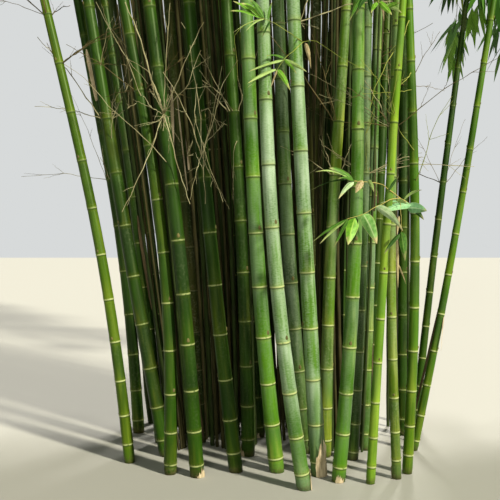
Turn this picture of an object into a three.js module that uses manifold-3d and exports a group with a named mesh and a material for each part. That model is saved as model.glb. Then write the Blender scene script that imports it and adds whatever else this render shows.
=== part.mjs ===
// A clump of giant bamboo rooted in level ground: bare jointed culms below, arching leafy tops above.
// Millimetres and degrees, +Z up, the front of the clump faces -Y. The origin is the middle of the main
// culm's foot.
import * as THREE from "three";
import { mergeVertices } from "three/addons/utils/BufferGeometryUtils.js";
import Module from "manifold-3d";

const wasm = await Module();
wasm.setup();

// The three kinds of culm. A leafy one ends where its leafy top begins, a young one has no branches yet
// and runs to a thin point, and a dead one has lost its top.
const LEAFY = "leafy";
const YOUNG = "young";
const DEAD = "dead";

// Each culm's foot on the ground, its width there, and its sideways lean, first at the foot and then where
// it stands clear at STAND_HEIGHT. Plus X is to the right.
const CULMS = [
  { foot: [0, 0], width: 100, lean: [-5.5, -2.2], kind: LEAFY },
  { foot: [-1160, -220], width: 72, lean: [-6, -13], kind: LEAFY },
  { foot: [-1220, 520], width: 88, lean: [-4, -11], kind: LEAFY },
  { foot: [-940, -70], width: 94, lean: [-10.5, -9], kind: LEAFY },
  { foot: [-870, -450], width: 80, lean: [1, -10], kind: LEAFY },
  { foot: [-700, -500], width: 89, lean: [-3.5, -7], kind: LEAFY },
  { foot: [-465, -410], width: 90, lean: [-6.6, -4.8], kind: LEAFY },
  { foot: [-390, -70], width: 90, lean: [-1, -4], kind: LEAFY },
  { foot: [-210, -410], width: 96, lean: [-6.1, -2], kind: LEAFY },
  { foot: [-65, -730], width: 86, lean: [-9, -1.8], kind: LEAFY },
  { foot: [45, -480], width: 97, lean: [-3.7, -3.1], kind: LEAFY },
  { foot: [125, -90], width: 84, lean: [0.8, 3.9], kind: LEAFY },
  { foot: [150, -590], width: 85, lean: [4.6, -0.2], kind: LEAFY },
  { foot: [300, -160], width: 73, lean: [2.9, 0.8], kind: LEAFY },
  { foot: [420, 70], width: 74, lean: [1.3, 1.9], kind: LEAFY },
  { foot: [335, -630], width: 55, lean: [2.6, 3.6], kind: YOUNG },
  { foot: [510, -540], width: 58, lean: [-3, 1.2], kind: LEAFY },
  { foot: [595, -440], width: 64, lean: [2.4, -2.6], kind: LEAFY },
  { foot: [920, 730], width: 62, lean: [7, 8], kind: LEAFY },
  { foot: [750, 50], width: 56, lean: [11.5, 9], kind: YOUNG },
  { foot: [100, 170], width: 92, lean: [-1.8, 0.9], kind: DEAD },
  { foot: [-1020, 250], width: 82, lean: [-5.5, -8.5], kind: YOUNG },
  { foot: [-740, 260], width: 92, lean: [-3, -4.8], kind: DEAD },
  { foot: [-560, 560], width: 94, lean: [-1.5, -4.5], kind: LEAFY },
  { foot: [275, 360], width: 88, lean: [1, 2.5], kind: YOUNG },
  { foot: [765, 460], width: 88, lean: [0.5, 0.5], kind: LEAFY },
  { foot: [-460, 880], width: 92, lean: [-2.5, -4], kind: LEAFY },
  { foot: [-665, 460], width: 90, lean: [-2.5, -4], kind: DEAD },
  { foot: [-310, 400], width: 90, lean: [-3, -3.5], kind: LEAFY },
  { foot: [200, 950], width: 92, lean: [2, 2.5], kind: LEAFY },
  { foot: [590, 860], width: 92, lean: [3, 3], kind: LEAFY },
  { foot: [-1025, 780], width: 84, lean: [-5.5, -7.5], kind: YOUNG },
];

// The size of the clump, and how tall its culms grow. A pair of numbers is the least and the most.
const CLUMP_MIDDLE = [-120, 150];
const CLUMP_RADIUS = 1100;
const TALL_LENGTH = 13000;
const TALL_WIDTH = 92;
const WIDTH_POWER = 0.6;
const SHORTER_RIM = 0.1;
const LENGTH_SPREAD = [0.94, 1.06];
const DEAD_LENGTH = [3740, 5500];
const TAPER = 0.94;
const TAPER_POWER = 1.1;
const LEAFY_FROM = 0.34;
const STEP = 50;

// How the culms stand. One is nearly straight up to ARCH_FROM and then arches outward to its nodding tip,
// late and steeply in the middle of the clump, sooner and wider at its rim.
const STAND_HEIGHT = 2500;
const DEPTH_LEAN = 4.5;
const DEPTH_LEAN_FOOT = 5.85;
const ARCH_FROM = 3000;
const ARCH_POWER_MIDDLE = 3.6;
const ARCH_POWER_RIM = 2.1;
const ARCH_WANDER = [-20, 20];
const NOD_LEAST = 44;
const NOD_MORE = 28;
const NOD_SPREAD = [0.85, 1.15];
const LEAN_SPENT = 2.2;

// How the joints between internodes are spaced and swollen, and which of them the solids show.
const FIRST_JOINT = [54, 126];
const INTERNODE = 400;
const INTERNODE_SPREAD = [0.92, 1.08];
const SHORTER_AT_FOOT = 0.6;
const FOOT_JOINTS = 3.5;
const SHORTER_AT_TIP = 0.5;
const LAST_JOINT = 100;
const RIDGE = 1.055;
const WAIST = 0.985;
const WAIST_RISE = 22;
const FOOT_NARROWING = 0.93;
const FOOT_RISE = 36;
const JOINTS_SHOWN = 4;
const JOINTS_SKIPPED = 3;
const CULM_SIDES = 6;

// How a leafy top is built. Each blade stands for a whole spray of leaves.
const STEM_SIDES = 4;
const TWIG_SIDES = 3;
const CLEARANCE = 0.35;
const FIRST_BOUGH = 80;
const BOUGH_EVERY = 4;
const BOUGH_LENGTH = 2150;
const BOUGH_SPREAD = [0.8, 1.2];
const SHORTER_HIGH = 0.74;
const SHORTER_POWER = 1.4;
const BOUGH_RISE = [38, 60];
const BOUGH_WIDTH = 22;
const BOUGH_TAPER = 0.65;
const BOUGH_SAG = 0.42;
const BOUGH_TURN = 205;
const BOUGH_SPANS = 2;
const BOUGHS_ROUND = 6;
const LONG_BOUGH = 1000;
const BLADE_LENGTH = 1240;
const BLADE_WIDTH = 360;
const BLADE_THICK = 16;
const BLADE_WIDEST = 0.36;
const BLADE_SPREAD = [0.85, 1.15];
const BLADE_SMALLER_HIGH = 0.38;
const BLADE_SIDEWAYS = 0.75;
const BLADE_DROOP = [0.3, 0.7];
const BLADE_ROLL = [-32, 32];
const LEAST_SIDE_BLADE = 0.55;
const TIP_BLADE = 0.7;
const TIP_BLADE_ROLL = 23;

// The space that each leafy top keeps to, and how much a bough or blade is shortened to fit in it.
const SPACE_MARGIN = 40;
const SHRINK_STEPS = [1, 0.75, 0.55, 0.4, 0.28];
const SHORTEST_BOUGH = 240;

// The low leafy twigs and dry twigs: the culm's number, the height of the joint they leave it at, the side
// they leave from, and each twig's heading, rise and length. Headings turn from +X towards +Y. A twig that
// grows from another one, and not from the culm, says which and how far along it.
const LOW_TWIGS = [
  {
    name: "leafy_spray_right",
    on: 18,
    height: 1640,
    side: -115,
    twigs: [
      { heading: -125, rise: 9, length: 400, leaves: 0 },
      { from: 0, at: 0.97, heading: 178, rise: 40, length: 190, leaves: 6 },
      { from: 0, at: 0.92, heading: -176, rise: -20, length: 370, leaves: 7 },
      { from: 0, at: 0.7, heading: -28, rise: -12, length: 120, leaves: 4 },
    ],
  },
  {
    name: "leafy_spray_middle",
    on: 11,
    height: 2620,
    side: -75,
    twigs: [
      { heading: -106, rise: -27, length: 420, leaves: 6 },
      { heading: -117, rise: 9, length: 370, leaves: 7 },
    ],
  },
  {
    name: "dry_twigs_left",
    on: 6,
    height: 2180,
    side: -80,
    twigs: [
      { heading: -110, rise: 62, length: 560, leaves: 0 },
      { heading: -75, rise: 74, length: 640, leaves: 0 },
      { heading: -40, rise: 52, length: 520, leaves: 0 },
      { heading: -118, rise: -40, length: 600, leaves: 0 },
      { heading: -62, rise: -30, length: 420, leaves: 0 },
    ],
  },
  {
    name: "dry_twigs_middle",
    on: 7,
    height: 1950,
    side: -95,
    twigs: [
      { heading: -130, rise: 58, length: 620, leaves: 0 },
      { heading: -92, rise: 70, length: 520, leaves: 0 },
      { heading: -48, rise: 60, length: 660, leaves: 0 },
      { heading: -60, rise: -34, length: 380, leaves: 0 },
    ],
  },
];
const LOW_TWIG_WIDTH = 11;
const LOW_TWIG_SAG = 0.12;
const KNUCKLE_RADIUS = 17;
const LEAF_LENGTH = 235;
const LEAF_LENGTH_SPREAD = [0.8, 1.2];
const LEAF_WIDTH = 48;
const LEAF_THICK = 4;
const LEAF_FAN = [29, 67];
const LEAF_DROOP = [0.25, 0.75];
const LEAF_ROLL = [-26, 26];
const LEAVES_FROM = 0.47;
const CULM_BERTH = 12;

const UP = new THREE.Vector3(0, 0, 1);
const RADIANS = Math.PI / 180;
const smooth = (u) => u * u * (3 - 2 * u);
const clamp01 = (u) => Math.min(1, Math.max(0, u));
const mix = (a, b, u) => a + (b - a) * u;

// The same number from 0 to 1 each time for the same whole numbers.
function chance(...keys) {
  let mixed = 2166136261;
  for (const key of keys) {
    mixed = Math.imul(mixed ^ key, 73244475);
    mixed ^= mixed >>> 15;
    mixed = Math.imul(mixed, 461845907);
    mixed ^= mixed >>> 13;
  }
  return (mixed >>> 0) / 4294967296;
}

const between = ([least, most], ...keys) => mix(least, most, chance(...keys));

// A culm's length, its arch and the way it arches, from its width and from where it stands in the clump.
function grow(culm, number) {
  const [dx, dy] = [culm.foot[0] - CLUMP_MIDDLE[0], culm.foot[1] - CLUMP_MIDDLE[1]];
  const out = Math.min(1, Math.hypot(dx, dy) / CLUMP_RADIUS);
  const turn = Math.atan2(dy, dx) + between(ARCH_WANDER, number, 1) * RADIANS;
  const size = (culm.width / TALL_WIDTH) ** WIDTH_POWER * between(LENGTH_SPREAD, number, 2);
  const fullLength = TALL_LENGTH * size * (1 - SHORTER_RIM * out);
  const nod = (NOD_LEAST + NOD_MORE * out) * between(NOD_SPREAD, number, 4);
  return {
    ...culm,
    number,
    fullLength,
    length: culm.kind === DEAD ? between(DEAD_LENGTH, number, 3) : fullLength,
    nod: nod - LEAN_SPENT * Math.abs(culm.lean[1]),
    archPower: mix(ARCH_POWER_MIDDLE, ARCH_POWER_RIM, out),
    arch: [Math.cos(turn), Math.sin(turn)],
    leanFoot: [culm.lean[0], (DEPTH_LEAN_FOOT * dy) / CLUMP_RADIUS],
    leanStand: [culm.lean[1], (DEPTH_LEAN * dy) / CLUMP_RADIUS],
    twist: 360 * chance(number, 5),
    internode: INTERNODE * Math.sqrt(culm.width / TALL_WIDTH) * between(INTERNODE_SPREAD, number, 6),
  };
}

// The lean of a culm, as a vector in degrees, at a distance along it.
function leanAt(culm, along) {
  const stood = smooth(clamp01(along / STAND_HEIGHT));
  const arched = clamp01((along - ARCH_FROM) / (culm.fullLength - ARCH_FROM)) ** culm.archPower;
  const nodded = culm.nod * arched;
  return [0, 1].map((i) => mix(culm.leanFoot[i], culm.leanStand[i], stood) + nodded * culm.arch[i]);
}

// The turn that takes upright onto the culm's own direction at a distance along it.
function turnAt(culm, along) {
  const [leanX, leanY] = leanAt(culm, along);
  const axis = new THREE.Vector3(-leanY, leanX, 0).normalize();
  return new THREE.Quaternion().setFromAxisAngle(axis, Math.hypot(leanX, leanY) * RADIANS);
}

// The points of a culm's centreline, one for each STEP along it.
function centreline(culm) {
  const points = [new THREE.Vector3(culm.foot[0], culm.foot[1], 0)];
  for (let along = STEP / 2; along < culm.fullLength + STEP; along += STEP) {
    const way = UP.clone().applyQuaternion(turnAt(culm, along));
    points.push(points.at(-1).clone().addScaledVector(way, STEP));
  }
  return points;
}

function pointAt(culm, along) {
  const whole = Math.min(Math.floor(along / STEP), culm.points.length - 2);
  return culm.points[whole].clone().lerp(culm.points[whole + 1], along / STEP - whole);
}

function radiusAt(culm, along) {
  return (culm.width / 2) * (1 - TAPER * clamp01(along / culm.fullLength) ** TAPER_POWER);
}

// Distances along the culm to its joints. Internodes are short at the foot and again near the tip.
function jointsOf(culm) {
  const joints = [];
  let along = between(FIRST_JOINT, culm.number, 7);
  while (along < culm.fullLength - LAST_JOINT) {
    joints.push(along);
    const risen = 1 - SHORTER_AT_FOOT * Math.exp(-joints.length / FOOT_JOINTS);
    const high = 1 - SHORTER_AT_TIP * (along / culm.fullLength) ** 2;
    along += culm.internode * risen * high;
  }
  return joints;
}

// Bends an upright turned shape, whose axis is Y, onto a culm's centreline from a distance along it.
// The ring at the ground stays level, which makes the culm's flat cut.
function bendOnto(culm, geometry, from, gap = 0) {
  const position = geometry.attributes.position;
  for (let i = 0; i < position.count; i++) {
    const along = from + position.getY(i);
    const turned = turnAt(culm, along);
    const side = new THREE.Vector3(position.getX(i), position.getZ(i), 0);
    if (along > 0) side.applyQuaternion(turned);
    const lift = UP.clone().applyQuaternion(turned).multiplyScalar(gap);
    position.setXYZ(i, ...pointAt(culm, along).add(side).add(lift).toArray());
  }
  return geometry;
}

// A closed geometry as a solid that can be joined to others, with its faces out.
function solidOf(geometry) {
  const bare = geometry.clone();
  bare.deleteAttribute("normal");
  bare.deleteAttribute("uv");
  const merged = mergeVertices(bare, 1e-3);
  const vertProperties = merged.attributes.position.array;
  const triVerts = new Uint32Array(merged.index.array);
  const solid = new wasm.Manifold(new wasm.Mesh({ numProp: 3, vertProperties, triVerts }));
  return solid.volume() < 0 ? flipped(vertProperties, triVerts) : solid;
}

function flipped(vertProperties, triVerts) {
  for (let i = 0; i < triVerts.length; i += 3) {
    [triVerts[i + 1], triVerts[i + 2]] = [triVerts[i + 2], triVerts[i + 1]];
  }
  return new wasm.Manifold(new wasm.Mesh({ numProp: 3, vertProperties, triVerts }));
}

function geometryOf(solid) {
  const mesh = solid.getMesh();
  const geometry = new THREE.BufferGeometry();
  geometry.setAttribute("position", new THREE.BufferAttribute(mesh.vertProperties, 3));
  geometry.setIndex(new THREE.BufferAttribute(mesh.triVerts, 1));
  geometry.computeVertexNormals();
  return geometry;
}

// The piece of a solid that holds the most. A scrap that is left loose from it is dropped.
const largestOf = (solid) => solid.decompose().sort((a, b) => b.volume() - a.volume())[0];

const joined = (solids) => largestOf(solids.reduce((sum, solid) => sum.add(solid)));

// The bare stretch of a culm: swollen at its first joints, and at every third one above them.
// Its skin can be moved out, which gives the shape that a twig's root is cut back by.
function culmSolid(culm, outward = 0) {
  const rings = [
    [radiusAt(culm, 0) * FOOT_NARROWING, 0],
    [radiusAt(culm, 0), FOOT_RISE],
  ];
  culm.joints.forEach((along, k) => {
    const shown = k < JOINTS_SHOWN ? k > 0 : (k - JOINTS_SHOWN) % JOINTS_SKIPPED === 1;
    if (!shown || along > culm.end - 2 * WAIST_RISE) return;
    rings.push([radiusAt(culm, along) * RIDGE, along]);
    if (k < JOINTS_SHOWN) rings.push([radiusAt(culm, along) * WAIST, along + WAIST_RISE]);
  });
  rings.push([radiusAt(culm, culm.end), culm.end]);
  const skin = rings.map(([radius, along]) => new THREE.Vector2(radius + outward, along));
  const profile = [new THREE.Vector2(0, 0), ...skin, new THREE.Vector2(0, culm.end)];
  return solidOf(bendOnto(culm, new THREE.LatheGeometry(profile, CULM_SIDES), 0));
}

// The joints of a leafy top that carry a bough in the solids, by their numbers.
function boughJoints(culm) {
  const carries = (k) => culm.joints[k] > culm.end + FIRST_BOUGH && (k + culm.number) % BOUGH_EVERY === 0;
  return culm.joints.map((along, k) => k).filter(carries);
}

// The culm's own upper stem, inside its leafy top, with a ring at each bough.
function stemSolid(culm) {
  const rings = culm.stemRings.map((along) => new THREE.Vector2(radiusAt(culm, along), along - culm.end));
  const profile = [new THREE.Vector2(0, 0), ...rings, new THREE.Vector2(0, rings.at(-1).y)];
  return solidOf(bendOnto(culm, new THREE.LatheGeometry(profile, STEM_SIDES), culm.end, CLEARANCE));
}

// A point on the straight spans between the stem's rings.
function stemPoint(culm, along) {
  const next = culm.stemRings.findIndex((ring) => ring >= along);
  const [below, above] = [culm.stemRings[next - 1], culm.stemRings[next]];
  return pointAt(culm, below).lerp(pointAt(culm, above), (along - below) / (above - below));
}

// A bough's root, first direction, length and sag, from its joint's number k and its place round it.
function boughAt(culm, k, place) {
  const along = culm.joints[k];
  const high = (along - culm.end) / (culm.fullLength - culm.end);
  const spin = (culm.twist + k * BOUGH_TURN + (place * 360) / BOUGHS_ROUND) * RADIANS;
  const rise = between(BOUGH_RISE, culm.number, k, place, 8) * RADIANS;
  const aside = Math.sin(rise);
  const way = new THREE.Vector3(Math.cos(spin) * aside, Math.sin(spin) * aside, Math.cos(rise));
  const grown = (1 - SHORTER_HIGH * high ** SHORTER_POWER) * between(BOUGH_SPREAD, culm.number, k, place, 9);
  return {
    root: pointAt(culm, along),
    way: way.applyQuaternion(turnAt(culm, along)),
    length: BOUGH_LENGTH * (culm.fullLength / TALL_LENGTH) * grown,
    sag: BOUGH_SAG,
    high,
  };
}

// A point on a bough, which sags in straight spans, at a share of its length.
function boughPoint(bough, share) {
  const span = Math.min(Math.floor(share * BOUGH_SPANS), BOUGH_SPANS - 1);
  const [near, far] = [span, span + 1].map((end) => saggedPoint(bough, end / BOUGH_SPANS));
  return near.lerp(far, share * BOUGH_SPANS - span);
}

function saggedPoint(bough, share) {
  const far = bough.length * share;
  return bough.root
    .clone()
    .addScaledVector(bough.way, far)
    .addScaledVector(UP, -bough.sag * far * share);
}

// How much nearer a point is to its own culm than to any other. Below 0 it is in another's space.
function roomAt(culm, point) {
  const others = culms.filter((other) => other !== culm).map((other) => nearest(other, point));
  return Math.min(...others) - nearest(culm, point);
}

// The distance from a point to the nearest of a culm's centreline points, of which every fourth is asked.
function nearest(culm, point) {
  let least = Infinity;
  const last = Math.ceil(culm.length / STEP);
  for (let i = 0; i <= last; i += 4) least = Math.min(least, culm.points[i].distanceToSquared(point));
  return Math.sqrt(least);
}

// A bough shortened until it keeps to its culm's own space, or nothing if it can't.
function fitted(culm, bough) {
  for (const shrink of SHRINK_STEPS) {
    const tried = { ...bough, length: bough.length * shrink };
    const inside = [0.35, 0.7, 1].every((share) => roomAt(culm, boughPoint(tried, share)) > SPACE_MARGIN);
    if (inside && tried.length > SHORTEST_BOUGH) return tried;
  }
  return null;
}

// The bough of a joint that has the most room, out of those that could grow round it.
function mainBough(culm, k) {
  let best = null;
  for (let place = 0; place < BOUGHS_ROUND; place++) {
    const bough = fitted(culm, boughAt(culm, k, place));
    if (bough && (!best || bough.length > best.length)) best = bough;
  }
  return best;
}

// A closed skin over a row of stations, each a centre with its own half width and half thickness. It ends
// in a point at the last one.
function loft(stations, sides) {
  const last = stations.length - 1;
  const profile = [new THREE.Vector2(0, 0)];
  for (let i = 0; i < last; i++) profile.push(new THREE.Vector2(1, i));
  profile.push(new THREE.Vector2(0, last));
  const geometry = new THREE.LatheGeometry(profile, sides);
  const position = geometry.attributes.position;
  for (let i = 0; i < position.count; i++) {
    const station = stations[Math.round(position.getY(i))];
    const place = station.centre
      .clone()
      .addScaledVector(station.across, position.getX(i) * station.wide)
      .addScaledVector(station.over, position.getZ(i) * station.thick);
    position.setXYZ(i, ...place.toArray());
  }
  return solidOf(geometry);
}

// Directions across and over a heading, rolled about it.
function acrossAndOver(way, roll = 0) {
  const across = new THREE.Vector3().crossVectors(way, UP).normalize().applyAxisAngle(way, roll * RADIANS);
  return { across, over: new THREE.Vector3().crossVectors(across, way) };
}

// A bent three-sided twig along a bough. It widens into the blade that it carries, or ends in a point.
// A section's corners reach 0.87 of its half width to each side, and lie 1.5 half thicknesses apart.
function boughSolid(bough, width, blade) {
  const sides = acrossAndOver(bough.way);
  const stations = [];
  for (let i = 0; i <= BOUGH_SPANS; i++) {
    const share = i / BOUGH_SPANS;
    const half = (width / 2) * (1 - BOUGH_TAPER * share);
    stations.push({ centre: boughPoint(bough, share), ...sides, wide: half, thick: half });
  }
  if (blade) {
    const [wide, thick] = [blade.size.width / 2 / 0.87, blade.size.thick / 1.5];
    stations.push({ centre: blade.middle, across: blade.across, over: blade.over, wide, thick });
  }
  stations.push({ centre: blade ? blade.tip : boughPoint(bough, 1.02), ...sides, wide: 0, thick: 0 });
  return loft(stations, TWIG_SIDES);
}

// A keeled lance-shaped blade, from its root at the point given: where it is widest and where it ends.
function bladeAt(root, way, size, roll) {
  const middle = root.clone().addScaledVector(way, size.length * BLADE_WIDEST);
  const tip = root.clone().addScaledVector(way, size.length);
  return { root, way, size, middle, tip, ...acrossAndOver(way, roll) };
}

// The blade as a solid of four faces. Its root and tip are two corners of a tetrahedron, and its two sides,
// a little higher, are the others.
function bladeSolid({ root, way, size, across, over }) {
  const geometry = new THREE.TetrahedronGeometry(Math.sqrt(3));
  geometry.rotateZ(Math.PI / 4);
  const position = geometry.attributes.position;
  for (let i = 0; i < position.count; i++) {
    const [x, y, z] = [position.getX(i) / Math.SQRT2, position.getY(i) / Math.SQRT2, position.getZ(i)];
    const along = Math.abs(x) > 0.5 ? (size.length * (x + 1)) / 2 : size.length * BLADE_WIDEST;
    const place = root
      .clone()
      .addScaledVector(way, along)
      .addScaledVector(across, (y * size.width) / 2)
      .addScaledVector(over, ((z + 1) * size.thick) / 2);
    position.setXYZ(i, ...place.toArray());
  }
  return solidOf(geometry);
}

function bladeFits(culm, { tip, middle, across, size }) {
  const edges = [-0.5, 0.5].map((side) => middle.clone().addScaledVector(across, side * size.width));
  return [tip, ...edges].every((point) => roomAt(culm, point) > SPACE_MARGIN);
}

// The largest blade that keeps to the culm's own space, or nothing if none does that is worth having.
function fittedBlade(culm, root, way, scale, roll, least) {
  for (const shrink of SHRINK_STEPS.filter((step) => step >= least)) {
    const size = {
      length: BLADE_LENGTH * scale * shrink,
      width: BLADE_WIDTH * scale * Math.sqrt(shrink),
      thick: BLADE_THICK,
    };
    const blade = bladeAt(root, way, size, roll);
    if (bladeFits(culm, blade)) return blade;
  }
  return null;
}

// A heading turned to one side and let down. The side is -1, 0 or 1.
function turnedAside(ahead, side, sideways, droop) {
  const aside = new THREE.Vector3().crossVectors(ahead, UP).normalize();
  return ahead.clone().addScaledVector(aside, side * sideways).addScaledVector(UP, -droop).normalize();
}

// The blade of a bough at a share of its length, to one side of it or straight on from its end.
function boughBlade(culm, bough, k, share, side) {
  const scale = (1 - BLADE_SMALLER_HIGH * bough.high) * between(BLADE_SPREAD, culm.number, k, 10);
  const ahead = boughPoint(bough, 1).sub(boughPoint(bough, 0.9)).normalize();
  const droop = between(BLADE_DROOP, culm.number, k, side + 3, 11);
  const roll = between(BLADE_ROLL, culm.number, k, side + 3, 12);
  const way = turnedAside(ahead, side, BLADE_SIDEWAYS, droop);
  return fittedBlade(culm, boughPoint(bough, share), way, scale, roll, side ? LEAST_SIDE_BLADE : 0);
}

// One bough as solids: it widens into an end blade, and has one or three more to its sides.
function leafyBough(culm, bough, k) {
  const width = BOUGH_WIDTH * (1 - 0.5 * bough.high);
  const solids = [boughSolid(bough, width, boughBlade(culm, bough, k, 1, 0))];
  const places = bough.length > LONG_BOUGH ? [[0.8, 1], [0.6, -1], [0.4, 1]] : [[0.6, k % 2 ? 1 : -1]];
  for (const [share, side] of places) {
    const blade = boughBlade(culm, bough, k, share, side);
    if (blade) solids.push(bladeSolid(blade));
  }
  return solids;
}

// Two blades that hang round the very tip.
function tipBlades(culm) {
  const ahead = UP.clone().applyQuaternion(turnAt(culm, culm.fullLength));
  return [-1, 1].flatMap((side) => {
    const root = stemPoint(culm, culm.fullLength - 160 + 60 * side);
    const way = turnedAside(ahead, side, 0.6, 0.25);
    const blade = fittedBlade(culm, root, way, TIP_BLADE, TIP_BLADE_ROLL * side, LEAST_SIDE_BLADE);
    return blade ? [bladeSolid(blade)] : [];
  });
}

// A culm's leafy top: its upper stem, a bough at every fourth joint, and the blades on them.
function leafyTop(culm) {
  const parts = [stemSolid(culm)];
  for (const k of boughJoints(culm)) {
    const bough = mainBough(culm, k);
    if (bough) parts.push(...leafyBough(culm, bough, k));
  }
  return joined([...parts, ...tipBlades(culm)]);
}

// Whether a solid passes every culm but its own with room to spare.
function clearOfCulms(solid, own) {
  return culms.every((culm) => culm === own || solid.intersect(culmSolid(culm, CULM_BERTH)).isEmpty());
}

// A low twig's own direction, from its heading and its rise.
function headed(heading, rise) {
  const [turn, up] = [heading * RADIANS, rise * RADIANS];
  return new THREE.Vector3(Math.cos(turn) * Math.cos(up), Math.sin(turn) * Math.cos(up), Math.sin(up));
}

// The leaves of a low twig: they fan out and hang from its outer half.
function lowLeaves(twig, count, seed) {
  const leaves = [];
  for (let i = 0; i < count; i++) {
    const share = mix(0.97, LEAVES_FROM, i / count);
    const fan = i === 0 ? 0 : between(LEAF_FAN, seed, i, 13) * (i % 2 ? 1 : -1);
    const way = twig.way.clone().applyAxisAngle(UP, fan * RADIANS);
    way.addScaledVector(UP, -between(LEAF_DROOP, seed, i, 14)).normalize();
    const length = LEAF_LENGTH * between(LEAF_LENGTH_SPREAD, seed, i, 15);
    const size = { length, width: LEAF_WIDTH, thick: LEAF_THICK };
    const leaf = bladeSolid(bladeAt(boughPoint(twig, share), way, size, between(LEAF_ROLL, seed, i, 16)));
    if (clearOfCulms(leaf, null)) leaves.push(leaf);
  }
  return leaves;
}

// A bunch of low twigs on one culm, joined in a knuckle at their root and cut back clear of its skin.
function lowTwigs(bunch) {
  const own = culms[bunch.on - 1];
  const skin = pointAt(own, bunch.height).addScaledVector(headed(bunch.side, 0), radiusAt(own, bunch.height));
  const knuckle = new THREE.SphereGeometry(KNUCKLE_RADIUS, 6, 4);
  knuckle.translate(...skin.toArray());
  const parts = [solidOf(knuckle)];
  const grown = [];
  bunch.twigs.forEach(({ from, at, heading, rise, length, leaves }, i) => {
    const root = from === undefined ? skin : boughPoint(grown[from], at);
    const twig = { root, way: headed(heading, rise), length, sag: LOW_TWIG_SAG };
    grown.push(twig);
    const stick = boughSolid(twig, LOW_TWIG_WIDTH);
    if (clearOfCulms(stick, own)) parts.push(stick, ...lowLeaves(twig, leaves, bunch.on * 10 + i));
  });
  return largestOf(joined(parts).subtract(culmSolid(own, CLEARANCE)));
}

const culms = CULMS.map((culm, i) => grow(culm, i + 1));
for (const culm of culms) {
  culm.points = centreline(culm);
  culm.joints = jointsOf(culm);
  culm.end = culm.length;
  if (culm.kind === LEAFY) {
    culm.end = culm.joints.find((along) => along > LEAFY_FROM * culm.fullLength);
    culm.stemRings = [culm.end, ...boughJoints(culm).map((k) => culm.joints[k]), culm.fullLength];
  }
}

const greens = {
  [LEAFY]: new THREE.MeshStandardMaterial({ color: 0x4f7a22, roughness: 0.42, metalness: 0 }),
  [YOUNG]: new THREE.MeshStandardMaterial({ color: 0x86a626, roughness: 0.45, metalness: 0 }),
  [DEAD]: new THREE.MeshStandardMaterial({ color: 0x5d4a2b, roughness: 0.8, metalness: 0 }),
};
const leafGreen = new THREE.MeshStandardMaterial({ color: 0x4c8a1f, roughness: 0.55, metalness: 0 });
const dryBrown = new THREE.MeshStandardMaterial({ color: 0x9a7d4c, roughness: 0.8, metalness: 0 });

const bamboo = new THREE.Group();

function add(name, solid, material) {
  const mesh = new THREE.Mesh(geometryOf(solid), material);
  mesh.name = name;
  bamboo.add(mesh);
}

for (const culm of culms) {
  const number = String(culm.number).padStart(2, "0");
  add(`culm_${number}`, culmSolid(culm), greens[culm.kind]);
  if (culm.kind === LEAFY) add(`leafy_top_${number}`, leafyTop(culm), leafGreen);
}
for (const bunch of LOW_TWIGS) {
  const leafy = bunch.twigs.some((twig) => twig.leaves > 0);
  add(bunch.name, lowTwigs(bunch), leafy ? leafGreen : dryBrown);
}

export default bamboo;
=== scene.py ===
import itertools
import math

import bpy
import numpy as np
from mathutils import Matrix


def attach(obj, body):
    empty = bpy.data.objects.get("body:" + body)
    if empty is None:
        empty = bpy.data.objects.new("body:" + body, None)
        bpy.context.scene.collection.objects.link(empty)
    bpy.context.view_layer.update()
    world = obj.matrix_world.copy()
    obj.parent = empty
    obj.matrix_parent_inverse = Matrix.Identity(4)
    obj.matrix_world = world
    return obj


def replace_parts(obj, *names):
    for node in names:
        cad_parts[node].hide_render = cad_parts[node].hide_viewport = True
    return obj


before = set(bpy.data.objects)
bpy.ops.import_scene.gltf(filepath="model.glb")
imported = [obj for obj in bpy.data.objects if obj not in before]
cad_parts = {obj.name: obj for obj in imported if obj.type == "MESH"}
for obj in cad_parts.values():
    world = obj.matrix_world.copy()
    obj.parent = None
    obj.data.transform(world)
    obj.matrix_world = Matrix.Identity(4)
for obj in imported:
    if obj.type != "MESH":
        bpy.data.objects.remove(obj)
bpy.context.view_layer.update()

# The view: somebody on the level ground a few steps in front of the clump, with their eyes a little lower
# than standing height, who looks straight into it. The picture is square.
VIEW_ASIDE = -0.378
VIEW_BACK = 4.74
VIEW_HEIGHT = 1.38
VIEW_LENS = 50
VIEW_SENSOR = 36
VIEW_REACH = 500

view = bpy.data.cameras.new("view")
view.lens = VIEW_LENS
view.sensor_width = VIEW_SENSOR
view.clip_end = VIEW_REACH
viewer = bpy.data.objects.new("viewer", view)
viewer.location = (VIEW_ASIDE, -VIEW_BACK, VIEW_HEIGHT)
viewer.rotation_euler = (math.radians(90), 0, 0)
bpy.context.scene.collection.objects.link(viewer)
bpy.context.scene.camera = viewer


# The culms: woody stems that rise from one root close together, each swollen and ringed at its joints.
# They are hollow, smooth and green. Young ones wear a waxy bloom, and old ones yellow, turn dull and die.
LEAFY = "leafy"
YOUNG = "young"
DEAD = "dead"

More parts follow.
